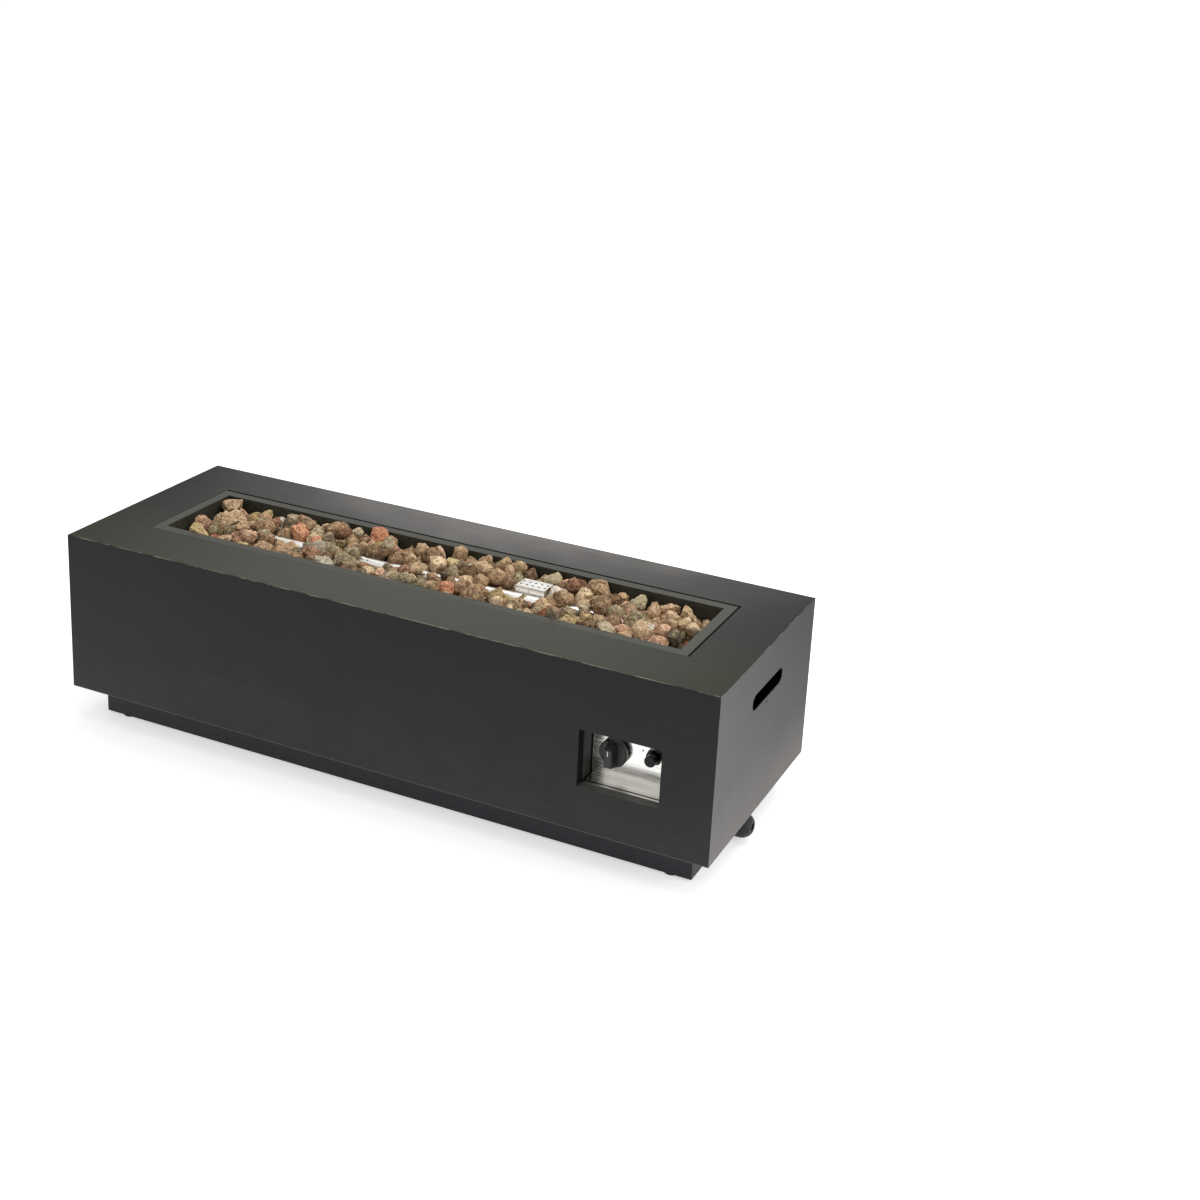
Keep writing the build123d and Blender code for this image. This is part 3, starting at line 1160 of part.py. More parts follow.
# Flare nuts over both ends of the burner line
jet_nut_plane = Plane(origin=jet_end, x_dir=(1, 0, 0), z_dir=(0, 0, -1))
outlet_nut_plane = Plane(origin=outlet_end, x_dir=(0, 1, 0), z_dir=(-1, 0, 0))
with BuildPart() as line_nuts:
    for nut_plane in (jet_nut_plane, outlet_nut_plane):
        with BuildSketch(nut_plane):
            RegularPolygon(LINE_NUT_RADIUS, 6)
            Circle(FLARE_RADIUS + SEAT_GAP, mode=Mode.SUBTRACT)
        extrude(amount=-LINE_NUT_LENGTH / 2)
        with BuildSketch(nut_plane):
            RegularPolygon(LINE_NUT_RADIUS, 6)
            Circle(LINE_RADIUS + SEAT_GAP, mode=Mode.SUBTRACT)
        extrude(amount=LINE_NUT_LENGTH / 2)
line_nuts.part.label = "line_nuts"
export_step(line_nuts.part, "parts/line_nuts.step")
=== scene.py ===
# %% [markdown]
# A long, low gas fire pit: a lacquered sheet-steel casing on a recessed plinth, a black pan of lava stones round a
# stainless burner, and a bright control recess at one end of the front. The solids come from a CAD frame that is
# already the right size, so this lesson adds what a solid cannot show: finishes, light, loose stones and printing.

# %% Load the frame
import json
import math

import bpy
import numpy as np
from mathutils import Matrix, Vector


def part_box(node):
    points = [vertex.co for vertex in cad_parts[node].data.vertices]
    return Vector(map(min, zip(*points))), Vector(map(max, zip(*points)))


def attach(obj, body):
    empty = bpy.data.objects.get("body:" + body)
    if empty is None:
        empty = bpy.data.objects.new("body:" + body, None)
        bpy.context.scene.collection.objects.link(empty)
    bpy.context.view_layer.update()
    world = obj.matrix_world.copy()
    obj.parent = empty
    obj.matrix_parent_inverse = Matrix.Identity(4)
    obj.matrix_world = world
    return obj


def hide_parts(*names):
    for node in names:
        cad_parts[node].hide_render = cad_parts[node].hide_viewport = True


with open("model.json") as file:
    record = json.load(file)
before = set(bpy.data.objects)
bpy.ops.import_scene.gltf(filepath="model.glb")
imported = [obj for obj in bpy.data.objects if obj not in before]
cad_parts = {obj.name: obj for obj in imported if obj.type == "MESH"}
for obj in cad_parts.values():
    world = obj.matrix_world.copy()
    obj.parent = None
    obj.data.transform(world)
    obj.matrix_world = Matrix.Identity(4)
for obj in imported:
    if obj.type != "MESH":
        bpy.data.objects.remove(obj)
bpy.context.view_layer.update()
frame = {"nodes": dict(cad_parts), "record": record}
nodes = frame["nodes"]
MM = 0.001

# %% [markdown]
# The camera stands to the right of the front and a little above it. Its place was worked out from the corners of
# the casing, the groove round the pan and the control window. The picture was cropped from a larger frame, so the
# optical axis is above the picture's middle, which Blender calls shift.

# %% Camera
IMAGE_SIZE = 1200  # pixels on each side
FOCAL_PIXELS = 1848.8
AXIS_PIXEL = (600, 420)  # where the optical axis meets the picture
EYE = (1.6831, -2.9784, 1.8254)
azimuth, elevation, roll = (math.radians(angle) for angle in (24.24, 17.86, 2.962))

forward = Vector((
    -math.sin(azimuth) * math.cos(elevation), math.cos(azimuth) * math.cos(elevation), -math.sin(elevation)
))
level_right = Vector((math.cos(azimuth), math.sin(azimuth), 0))
level_up = level_right.cross(forward)
right = math.cos(roll) * level_right + math.sin(roll) * level_up
up = math.cos(roll) * level_up - math.sin(roll) * level_right

camera_data = bpy.data.cameras.new("camera")
camera = bpy.data.objects.new("camera", camera_data)
bpy.context.collection.objects.link(camera)
camera_data.lens = FOCAL_PIXELS / IMAGE_SIZE * camera_data.sensor_width
camera_data.shift_x = 0.5 - AXIS_PIXEL[0] / IMAGE_SIZE
camera_data.shift_y = AXIS_PIXEL[1] / IMAGE_SIZE - 0.5
camera.matrix_world = Matrix.Translation(EYE) @ Matrix((right, up, -forward)).transposed().to_4x4()
bpy.context.scene.camera = camera
print("camera:", round(camera_data.lens, 1), "mm lens, shift", round(camera_data.shift_x, 3), camera_data.shift_y)

# %% [markdown]
# Every finish below is a small tree of shader nodes. One function turns the hex colours that a paint chart gives
# into the linear values that light adds up in, and one adds a node with its settings, values and links.

# %% Helpers for finishes
def linear(hex_code):
    """Linear colour of an sRGB hex code: c / 12.92 up to 0.04045, else ((c + 0.055) / 1.055) to the power 2.4."""
    srgb = np.array([int(hex_code[start:start + 2], 16) for start in (0, 2, 4)]) / 255
    values = np.where(srgb <= 0.04045, srgb / 12.92, ((srgb + 0.055) / 1.055) ** 2.4)
    return (*values.tolist(), 1.0)


def add_node(tree, kind, sockets, stops=(), **settings):
    """One node: settings are its properties, sockets its values or links, stops a colour ramp's (place, hex)."""
    made = tree.nodes.new("ShaderNode" + kind)
    for name, value in settings.items():
        setattr(made, name, value)
    for place, (position, hex_code) in enumerate(stops):
        if place >= len(made.color_ramp.elements):
            made.color_ramp.elements.new(position)
        made.color_ramp.elements[place].position = position
        made.color_ramp.elements[place].color = linear(hex_code)
    for name, value in sockets.items():
        if isinstance(value, bpy.types.NodeSocket):
            tree.links.new(value, made.inputs[name])
        else:
            made.inputs[name].default_value = value
    return made


def new_finish(name):
    """An empty material, its node tree and the Object coordinates that its patterns read."""
    material = bpy.data.materials.new(name)
    material.use_nodes = True
    tree = material.node_tree
    tree.nodes.clear()
    place = add_node(tree, "TexCoord", {}).outputs["Object"]
    return material, tree, place


def close_finish(tree, sockets):
    """Ends a tree with the one surface shader and the output."""
    surface = add_node(tree, "BsdfPrincipled", sockets)
    add_node(tree, "OutputMaterial", {"Surface": surface.outputs["BSDF"]})


def per_metre(*sizes_mm):
    """Scale of a pattern whose features have these sizes in millimetres along X, Y and Z."""
    return tuple(1 / (size * MM) for size in sizes_mm)


# %% [markdown]
# The edges of the casing's top, where things get knocked, lose their coat down to a dull primer, and the pale colour
# there is also a painted highlight on the rounded edges. The wear could be painted by hand along each edge. Here it
# is found by arithmetic, which also fits another size: on a box, the second smallest of the distances to its faces is
# the distance to the nearest edge. Patchy noise then says how far from the edge the coat is gone.

# %% Worn edges of the casing, with a painted highlight
WEAR_HIGHLIGHT_RIM_MM, WEAR_HIGHLIGHT_BELOW_MM = 5.0, 2.0  # width of the wear and painted highlight on the rim and below it, for each unit of the noise
WEAR_HIGHLIGHT_AT_ENDS = 0.4  # share of that width along the edges of the ends
WEAR_HIGHLIGHT_PATCH_MM, WEAR_HIGHLIGHT_THRESHOLD = 36, 0.37
NEAR_MM, AWAY_MM = 2, 6  # distances from a face between which the width changes
casing_high = np.array(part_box("top_surround")[1])


def worn_and_highlit_edges(tree, place, apart):
    """Mask of bare edges, which also carry a painted highlight, and the depth below the top: bare where (noise -
    threshold) x width exceeds the distance.
    """
    reach_x, reach_y = (
        add_node(tree, "Math", {0: apart.outputs[axis]}, operation="ABSOLUTE").outputs["Value"] for axis in "XY"
    )
    from_end, from_side, from_top = (
        add_node(tree, "Math", {0: float(face), 1: reach}, operation="SUBTRACT").outputs["Value"]
        for face, reach in zip(casing_high, (reach_x, reach_y, apart.outputs["Z"]))
    )
    nearer = add_node(tree, "Math", {0: from_end, 1: from_side}, operation="MINIMUM").outputs["Value"]
    farther = add_node(tree, "Math", {0: from_end, 1: from_side}, operation="MAXIMUM").outputs["Value"]
    third = add_node(tree, "Math", {0: farther, 1: from_top}, operation="MINIMUM").outputs["Value"]
    from_edge = add_node(tree, "Math", {0: nearer, 1: third}, operation="MAXIMUM").outputs["Value"]
    patches = add_node(
        tree, "TexNoise", {"Vector": place, "Scale": per_metre(WEAR_HIGHLIGHT_PATCH_MM)[0], "Detail": 5.0}
    ).outputs["Fac"]
    wear_and_highlight = add_node(tree, "Math", {0: patches, 1: WEAR_HIGHLIGHT_THRESHOLD}, operation="SUBTRACT").outputs["Value"]
    widths = ((from_top, WEAR_HIGHLIGHT_RIM_MM * MM, WEAR_HIGHLIGHT_BELOW_MM * MM), (from_end, WEAR_HIGHLIGHT_AT_ENDS, 1.0))
    for distance, near, away in widths:
        width = add_node(tree, "MapRange", {
            "Value": distance, "From Min": NEAR_MM * MM, "From Max": AWAY_MM * MM, "To Min": near, "To Max": away,
        }).outputs["Result"]
        wear_and_highlight = add_node(tree, "Math", {0: wear_and_highlight, 1: width}, operation="MULTIPLY").outputs["Value"]
    # bare primer and a painted highlight on the rounded edge share this mask
    bare = add_node(tree, "Math", {0: wear_and_highlight, 1: from_edge}, operation="GREATER_THAN").outputs["Value"]
    return bare, from_top


print("casing: half length, half depth and top", casing_high.round(3))

# %% [markdown]
# The casing is sheet steel with a hand-brushed bronze-black lacquer. The brush leaves hairlines that run along the
# length, and on the ends along the depth. Noise that is stretched a hundred to one makes them. The lacquer is a
# dielectric: nearly black from the front, and paler the flatter one looks along it, so its grey comes from the
# studio. Light and shade are also painted into its colour: a painted sheen makes it paler towards the back of the
# top, painted shade makes it darker higher up the panels and at the ends of the top, painted light makes the end
# panels paler, and a painted olive reflection lies at the front of the top. The ends of the top and the back of the
# end panels are duller. The returns at the sides of the control window were sprayed but never brushed, so they stay
# matt, and painted shade makes them black. Faces that look up below the rim, the ledges, are paler, and a painted
# highlight runs along the foot of the panels.

# %% Lacquer of the casing
HAIRLINE_MM = 2.2  # really about 0.5, drawn coarser so that it shows
HAIRLINE_LENGTH_MM = 260
CLOUD_MM = 120
CAST_FULL_MM, CAST_FAINT_MM = 100, 250  # the painted olive reflection fades between these distances from the front
CAST_FULL, CAST_FAINT = 0.6, 0.1
LOW_EDGE_MM = 1.6  # a painted highlight makes the foot of the panels paler up to this height
RIM_MM = 20  # what lies deeper below the top is a panel, a return or a ledge
TONE = 0.6  # place on the colour ramp before these changes
# painted light and shade in the tone: darker higher up, paler towards the back of the top as a painted sheen, darker
# at its ends, paler on the end panels
TONE_UP = -0.9  # for each metre up
TONE_BACK = 0.95  # for each metre back on the top
TONE_TO_ENDS = -0.55  # added to that at the ends of the top
TONE_ON_ENDS = 0.16  # on the end panels
# change of the roughness on returns, at the ends of the top, and for each metre back on the end panels
MATT_RETURNS, MATT_TOP_ENDS, MATT_BACK = 0.5, 0.35, 0.4
casing_low_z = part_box("front_panel")[0][2]


def brushed_lacquer(name, hairline_sizes, hairline_share, cloud_share, return_shade_share):
    """Dark satin lacquer: hairlines of these sizes along X, Y and Z, painted light and shade by place, worn edges
    with a painted highlight, and matt returns with painted shade.
    """
    material, tree, place = new_finish(name)
    apart = add_node(tree, "SeparateXYZ", {"Vector": place})
    hairline_place = add_node(tree, "Mapping", {"Vector": place, "Scale": per_metre(*hairline_sizes)})
    hairlines = add_node(tree, "TexNoise", {
        "Vector": hairline_place.outputs["Vector"], "Scale": 1.0, "Detail": 3.0, "Roughness": 0.65,
    }).outputs["Fac"]
    clouds = add_node(
        tree, "TexNoise", {"Vector": place, "Scale": per_metre(CLOUD_MM)[0], "Detail": 3.0}
    ).outputs["Fac"]
    facing = add_node(tree, "SeparateXYZ", {"Vector": add_node(tree, "NewGeometry", {}).outputs["Normal"]})
    upward = add_node(tree, "Math", {0: facing.outputs["Z"], 1: 0.0}, operation="MAXIMUM").outputs["Value"]
    sideways = add_node(tree, "Math", {0: facing.outputs["X"]}, operation="ABSOLUTE").outputs["Value"]

    from_front = add_node(
        tree, "Math", {0: apart.outputs["Y"], 1: float(casing_high[1])}, operation="ADD"
    ).outputs["Value"]
    along = add_node(
        tree, "Math", {0: apart.outputs["X"], 1: 1 / float(casing_high[0])}, operation="MULTIPLY"
    ).outputs["Value"]
    along = add_node(tree, "Math", {0: along, 1: 2.0}, operation="POWER").outputs["Value"]
    lean = add_node(tree, "Math", {0: upward, 1: from_front}, operation="MULTIPLY").outputs["Value"]
    top_ends_shade = add_node(tree, "Math", {0: along, 1: lean}, operation="MULTIPLY").outputs["Value"]
    tone = TONE - (hairline_share + cloud_share) / 2
    # painted light and shade by height, back, ends of the top and end panels, then the clouds and hairlines of the
    # brushing
    parts = (
        (apart.outputs["Z"], TONE_UP), (lean, TONE_BACK), (top_ends_shade, TONE_TO_ENDS), (sideways, TONE_ON_ENDS),
        (clouds, cloud_share), (hairlines, hairline_share),
    )
    for source, share in parts:
        tone = add_node(tree, "Math", {0: source, 1: share, 2: tone}, operation="MULTIPLY_ADD").outputs["Value"]
    colour = add_node(
        tree, "ValToRGB", {"Fac": tone}, stops=((0.2, "0c0c0d"), (0.42, "1d1d1e"), (0.58, "353434"), (0.7, "605c59"))
    ).outputs["Color"]

    front_strip = add_node(tree, "MapRange", {
        "Value": from_front, "From Min": CAST_FULL_MM * MM, "From Max": CAST_FAINT_MM * MM,
        "To Min": CAST_FULL, "To Max": CAST_FAINT,
    }).outputs["Result"]
    front_reflection = add_node(tree, "Math", {0: upward, 1: front_strip}, operation="MULTIPLY").outputs["Value"]
    foot_highlight = add_node(
        tree, "Math", {0: apart.outputs["Z"], 1: casing_low_z + LOW_EDGE_MM * MM}, operation="LESS_THAN"
    ).outputs["Value"]
    bare, from_top = worn_and_highlit_edges(tree, place, apart)
    below_rim = add_node(tree, "Math", {0: from_top, 1: RIM_MM * MM}, operation="GREATER_THAN").outputs["Value"]
    # the returns to the side are made black: painted shade in the window's recess
    shaded_returns = add_node(tree, "Math", {0: sideways, 1: below_rim}, operation="MULTIPLY").outputs["Value"]
    shaded_returns = add_node(tree, "Math", {0: shaded_returns, 1: return_shade_share}, operation="MULTIPLY").outputs["Value"]
    # faces that look up below the rim are made paler
    ledge = add_node(tree, "Math", {0: upward, 1: below_rim}, operation="MULTIPLY").outputs["Value"]
    # painted olive reflection, painted highlight at the foot, bare edges with a painted highlight, painted shade on
    # the returns, paler ledges
    tints = (
        (front_reflection, 1.0, "2b2b1c"), (foot_highlight, 0.5, "6e6e6c"), (bare, 0.75, "868570"), (shaded_returns, 1.0, "050505"),
        (ledge, 0.3, "8b8a84"),
    )
    for mask, share, tint in tints:
        factor = add_node(tree, "Math", {0: mask, 1: share}, operation="MULTIPLY").outputs["Value"]
        colour = add_node(
            tree, "Mix", {"Factor": factor, 6: colour, 7: linear(tint)}, data_type="RGBA"
        ).outputs[2]

    to_top_ends = add_node(tree, "Math", {0: along, 1: upward}, operation="MULTIPLY").outputs["Value"]
    to_top_ends = add_node(
        tree, "Math", {0: to_top_ends, 1: below_rim}, operation="SUBTRACT", use_clamp=True
    ).outputs["Value"]
    to_back = add_node(tree, "Math", {0: from_front, 1: sideways}, operation="MULTIPLY").outputs["Value"]
    roughness = add_node(
        tree, "MapRange", {"Value": hairlines, "From Min": 0.3, "From Max": 0.7, "To Min": 0.37, "To Max": 0.43}
    ).outputs["Result"]
    for source, share in ((shaded_returns, MATT_RETURNS), (to_top_ends, MATT_TOP_ENDS), (to_back, MATT_BACK)):
        roughness = add_node(
            tree, "Math", {0: source, 1: share, 2: roughness}, operation="MULTIPLY_ADD"
        ).outputs["Value"]
    relief = add_node(tree, "Bump", {"Height": hairlines, "Strength": 0.04, "Distance": 0.2 * MM}).outputs["Normal"]
    close_finish(tree, {
        "Base Color": colour, "Roughness": roughness, "Normal": relief, "IOR": 1.5, "Specular IOR Level": 0.22,
    })
    return material


lacquer_along = brushed_lacquer(
    "brushed_bronze_black_lacquer_long", (HAIRLINE_LENGTH_MM, HAIRLINE_MM, HAIRLINE_MM), 0.2, 0.15, 1.0
)
lacquer_across = brushed_lacquer(
    "brushed_bronze_black_lacquer_ends", (HAIRLINE_MM, HAIRLINE_LENGTH_MM, HAIRLINE_MM), 0.06, 0.05, 0.0
)
print("lacquer: two directions, hairlines drawn", HAIRLINE_MM, "mm wide")

# %% [markdown]
# The control recess is lined with bright stainless sheet, polished and then brushed along its length. A metal has
# no colour of its own beneath the reflection, so its base colour is simply how much it mirrors. The brushing makes
# short streaks in the gloss and wide soft bands. The side walls of the liner and the left side of its trim are
# painted dark, darkest low down, and a dark line lies in the left corner of the plate: painted shade, which also
# stands for the dark that the walls mirror. Those walls look sideways, so the mask is the size of the normal's X.
# Faces that look up are greyed, and their mask is the normal's Z.

# %% Stainless of the control recess
STREAK_MM = (80, 2.4, 2.4)  # real brushing is near 0.1 mm, drawn coarser so that it shows
BAND_MM = (500, 16, 16)
TRIM_SIDE_MM = 5.0  # the trim's left side gets the painted shade of the wall beside it
CORNER_MM = 3.0  # the strip of plate, from the trim's outside, that holds a painted shadow line
WALL_SHADE_LOW_MM, WALL_SHADE_AT_TOP = 20, 0.88  # painted shade on the walls: whole up to here, and its share at the top
UPWARD_GREY_SHARE = 0.4
window_low, window_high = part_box("recess_trim")


def recess_stainless(name):
    """Brushed mirror sheet: streaks and bands move colour and gloss, painted shade lies on its sides, and its floor
    is greyed.
    """
    material, tree, place = new_finish(name)
    streaks, bands = (
        add_node(tree, "TexNoise", {
            "Vector": add_node(tree, "Mapping", {"Vector": place, "Scale": per_metre(*sizes)}).outputs["Vector"],
            "Scale": 1.0, "Detail": 2.0,
        }).outputs["Fac"]
        for sizes in (STREAK_MM, BAND_MM)
    )
    tone = add_node(tree, "Math", {0: streaks, 1: bands}, operation="ADD").outputs["Value"]
    sheet = add_node(
        tree, "ValToRGB", {"Fac": add_node(tree, "Math", {0: tone, 1: 0.5}, operation="MULTIPLY").outputs["Value"]},
        stops=((0.34, "c4c2bb"), (0.46, "e4e2dc"), (0.6, "f7f6f2")),
    ).outputs["Color"]
    facing = add_node(tree, "SeparateXYZ", {"Vector": add_node(tree, "NewGeometry", {}).outputs["Normal"]})
    side = add_node(tree, "Math", {0: facing.outputs["X"]}, operation="ABSOLUTE").outputs["Value"]
    apart = add_node(tree, "SeparateXYZ", {"Vector": place})
    # painted shade on the walls, whole low down and less towards the top
    thickness = add_node(tree, "MapRange", {
        "Value": apart.outputs["Z"], "From Min": window_low[2] + WALL_SHADE_LOW_MM * MM, "From Max": window_high[2],
        "To Min": 1.0, "To Max": WALL_SHADE_AT_TOP,
    }).outputs["Result"]
    wall_shade = add_node(tree, "Math", {0: side, 1: thickness}, operation="MULTIPLY").outputs["Value"]
    in_front = add_node(
        tree, "Math", {0: apart.outputs["Y"], 1: window_high[1]}, operation="LESS_THAN"
    ).outputs["Value"]
    to_left = add_node(
        tree, "Math", {0: apart.outputs["X"], 1: window_low[0] + TRIM_SIDE_MM * MM}, operation="LESS_THAN"
    ).outputs["Value"]
    trim_side_shade = add_node(tree, "Math", {0: in_front, 1: to_left}, operation="MULTIPLY").outputs["Value"]
    corner_shadow = add_node(
        tree, "Math", {0: apart.outputs["X"], 1: window_low[0] + CORNER_MM * MM}, operation="LESS_THAN"
    ).outputs["Value"]
    recess_shade = wall_shade
    for mask in (trim_side_shade, corner_shadow):
        recess_shade = add_node(tree, "Math", {0: recess_shade, 1: mask}, operation="MAXIMUM").outputs["Value"]
    # faces that look up are greyed
    upward = add_node(tree, "Math", {0: facing.outputs["Z"], 1: 0.0}, operation="MAXIMUM").outputs["Value"]
    upward_grey = add_node(tree, "Math", {0: upward, 1: UPWARD_GREY_SHARE}, operation="MULTIPLY").outputs["Value"]
    colour = sheet
    # greyed upward faces, then painted shade on the walls, the trim's side and the corner
    for factor, tint in ((upward_grey, "8b8a84"), (recess_shade, "1d1916")):
        colour = add_node(tree, "Mix", {"Factor": factor, 6: colour, 7: linear(tint)}, data_type="RGBA").outputs[2]
    smooth = add_node(
        tree, "MapRange", {"Value": streaks, "From Min": 0.3, "From Max": 0.7, "To Min": 0.16, "To Max": 0.27}
    ).outputs["Result"]
    roughness = add_node(tree, "Math", {0: recess_shade, 1: 0.3, 2: smooth}, operation="MULTIPLY_ADD").outputs["Value"]
    relief = add_node(tree, "Bump", {"Height": streaks, "Strength": 0.06, "Distance": 0.01 * MM}).outputs["Normal"]
    close_finish(tree, {"Base Color": colour, "Metallic": 1.0, "Roughness": roughness, "Normal": relief})
    return material


bright_stainless = recess_stainless("polished_brushed_stainless")
print("recess: streaks", STREAK_MM[1], "mm and bands", BAND_MM[1], "mm wide")

# %% [markdown]
# Most other finishes are one tone with a little life in it: a grain of some real size that moves the colour, the
# roughness and the surface together. A table of such finishes keeps their numbers side by side, and one function
# builds them. A long grain size makes brushed or drawn metal, an even one makes a cast, moulded or sprayed skin.

# %% Plain finishes
# name: dark hex, light hex, metallic, specular level, roughness low and high, grain sizes in mm along X, Y and Z,
# relief in mm
PLAIN_FINISHES = {
    # sprayed satin enamel on the plinth: fine orange peel
    "sprayed_satin_enamel": ("222327", "2e2f34", 0.0, 0.28, (0.42, 0.52), (5, 5, 5), 0.05),
    # stove enamel that stands heat: matt, with a dry bloom
    "stove_enamel_matt_black": ("222218", "313126", 0.0, 0.32, (0.44, 0.56), (9, 9, 9), 0.06),
    # the same enamel, near black, on the ledge down in the groove
    "near_black_stove_enamel": ("040404", "080808", 0.0, 0.08, (0.7, 0.85), (7, 7, 7), 0.06),
    # zinc-plated sheet inside: grey with a soft spangle
    "zinc_plated_sheet": ("7b7f82", "a3a7a8", 1.0, 0.5, (0.38, 0.52), (14, 14, 9), 0.03),
    # drawn stainless of the burner: bright, dulled by handling
    "drawn_stainless_tube": ("cfccc6", "efede8", 1.0, 0.5, (0.24, 0.38), (60, 3, 3), 0.02),
    # turned brass of nipples and nuts: warm, with fine rings of the tool
    "turned_brass": ("8f7338", "c2a05a", 1.0, 0.5, (0.24, 0.36), (3, 1.5, 1.5), 0.02),
    # die-cast zinc alloy of the valve: grey and a little grainy
    "die_cast_zinc_alloy": ("7f8184", "a4a6a8", 1.0, 0.5, (0.42, 0.56), (2.5, 2.5, 2.5), 0.06),
    # drawn copper of the thermocouple: red-brown, streaked along its length
    "drawn_copper": ("8d5a40", "c07e5c", 1.0, 0.5, (0.28, 0.42), (25, 3, 3), 0.02),
    # moulded thermoset of the knob: black with a fine spark texture
    "moulded_thermoset_black": ("18181a", "242427", 0.0, 0.45, (0.36, 0.48), (1.6, 1.6, 1.6), 0.05),
    # moulded gloss plastic of the igniter: deep black with small sharp glints
    "moulded_gloss_black": ("08080b", "101014", 0.0, 0.2, (0.2, 0.3), (3, 3, 3), 0.02),
    # moulded rubber of the boot, the feet and the gasket: charcoal with a soft sheen
    "moulded_rubber": ("121213", "1f1f20", 0.0, 0.4, (0.5, 0.65), (4, 4, 4), 0.06),
    # unglazed steatite of the electrode: cream and chalky
    "unglazed_steatite": ("d8d2c4", "ece8de", 0.0, 0.4, (0.5, 0.6), (2, 2, 2), 0.03),
    # silicone sleeve of the igniter's lead: dull brick red
    "silicone_sleeve": ("5d1c14", "7a261b", 0.0, 0.4, (0.5, 0.6), (5, 5, 5), 0.03),
    # drawn steel sleeve of the battery: dark grey, streaked along its length
    "drawn_steel_sleeve": ("4a4d52", "666a70", 1.0, 0.5, (0.3, 0.4), (2, 20, 2), 0.02),
    # printing: screened ink on the plate, white paint filled into the knob
    "screened_black_ink": ("101010", "1c1c1c", 0.0, 0.3, (0.5, 0.6), (1, 1, 1), 0.01),
    "filled_white_paint": ("e4e2dc", "f4f2ec", 0.0, 0.4, (0.4, 0.5), (1, 1, 1), 0.01),
}


def plain_finish(name):
    """One grained finish of the table: noise of the grain's size moves colour, roughness and relief."""
    dark, light, metallic, specular, (smooth, rough), grain, relief_mm = PLAIN_FINISHES[name]
    material, tree, place = new_finish(name)
    grain_place = add_node(tree, "Mapping", {"Vector": place, "Scale": per_metre(*grain)})
    grains = add_node(
        tree, "TexNoise", {"Vector": grain_place.outputs["Vector"], "Scale": 1.0, "Detail": 3.0}
    ).outputs["Fac"]
    colour = add_node(tree, "ValToRGB", {"Fac": grains}, stops=((0.3, dark), (0.7, light))).outputs["Color"]
    roughness = add_node(
        tree, "MapRange", {"Value": grains, "From Min": 0.3, "From Max": 0.7, "To Min": smooth, "To Max": rough}
    ).outputs["Result"]
    normal = add_node(
        tree, "Bump", {"Height": grains, "Strength": 0.5, "Distance": relief_mm * MM}
    ).outputs["Normal"]
    close_finish(tree, {
        "Base Color": colour, "Metallic": metallic, "Roughness": roughness, "Normal": normal,
        "Specular IOR Level": specular,
    })
    return material


plain = {name: plain_finish(name) for name in PLAIN_FINISHES}
print("plain finishes:", len(plain))

# %% [markdown]
# Each CAD node now gets its finish. Nodes that share a record slot mostly share a finish, apart from the casing's
# panels, whose hairlines turn with the face, and the recess.

# %% Finishes on the CAD nodes
SLOT_FINISHES = {
    "casing_coat": lacquer_along,
    "plinth_coat": plain["sprayed_satin_enamel"],
    "inner_steel": plain["zinc_plated_sheet"],
    "pan_coat": plain["stove_enamel_matt_black"],
    "stainless": plain["drawn_stainless_tube"],
    "brass": plain["turned_brass"],
    "valve_casting": plain["die_cast_zinc_alloy"],
    "knob_plastic": plain["moulded_thermoset_black"],
    "igniter_plastic": plain["moulded_gloss_black"],
    "rubber": plain["moulded_rubber"],
    "ceramic": plain["unglazed_steatite"],
    "copper": plain["drawn_copper"],
    "silicone": plain["silicone_sleeve"],
    "battery_case": plain["drawn_steel_sleeve"],
}
NODE_FINISHES = {
    "left_end_panel": lacquer_across,
    "right_end_panel": lacquer_across,
    "pan_support_frame": plain["near_black_stove_enamel"],
    "control_plate": bright_stainless,
    "control_box": bright_stainless,
    "recess_trim": bright_stainless,
}
for part in frame["record"]["subparts"]:
    finish = NODE_FINISHES.get(part["node"], SLOT_FINISHES.get(part["material_slot"]))
    if finish:
        mesh = nodes[part["node"]].data
        mesh.materials.clear()
        mesh.materials.append(finish)

# %% [markdown]
# The pan holds a bed of lava stones. They could be scattered by hand or dropped in a rigid-body simulation. Here
# each stone is first a ball: all balls sink a little, push apart where they overlap, and are kept inside the pan, off
# the ignition guard and off a few stretches of the burner tube, a few hundred times over. Nobody leaves such a bed
# as it was poured, so each ball also has a height that a hand would level it to, lower in front of the guard and of
# the bare stretches. Between these the stones nest over the tube, which their lower sides hide. Whole arrays make
# it quick, and the draws are seeded, so the bed is the same every time.

# %% Where the stones lie
STONE_COUNT = 470
STONE_RADIUS_MM = (9.0, 25.0)  # smallest and largest
STONE_MEAN_MM, STONE_SPREAD = 16.0, 0.2
LEVEL_MM, LEVEL_SPREAD_MM = 0.5, 7.0  # tops of the stones, from the rim of the pan
POUR_MARGIN = 0.03  # metres that the poured stones stay inside the pan's mouth
POUR_HALF_HEIGHT, POUR_MIDDLE = 0.03, 0.04  # metres, the middle over the pan's floor
SETTLE_STEPS = 420
SINK_MM = 0.5
OVERLAP = 0.92  # stones are no balls, so they lie closer than balls would
PUSH_SHARE = 0.45  # of an overlap, undone at each step
PAN_SHEET_MM, PAN_FLANGE_MM, PAN_DRAFT_MM = 1.5, 21.0, 8.0
GUARD_ROOM_MM = 6.0
GUARD_SHOWS_MM = 10.0  # stones in front of the guard stay this far below its top
BARE_SPANS_MM = ((-372, -309), (-173, -85), (-25, -1), (115, 183))  # stretches of the tube that stones keep off
BARE_HALF_WIDTH_MM = 9.0
BARE_END_SHARE = 0.6  # of a ball's radius, how far it stays off the ends of a bare stretch
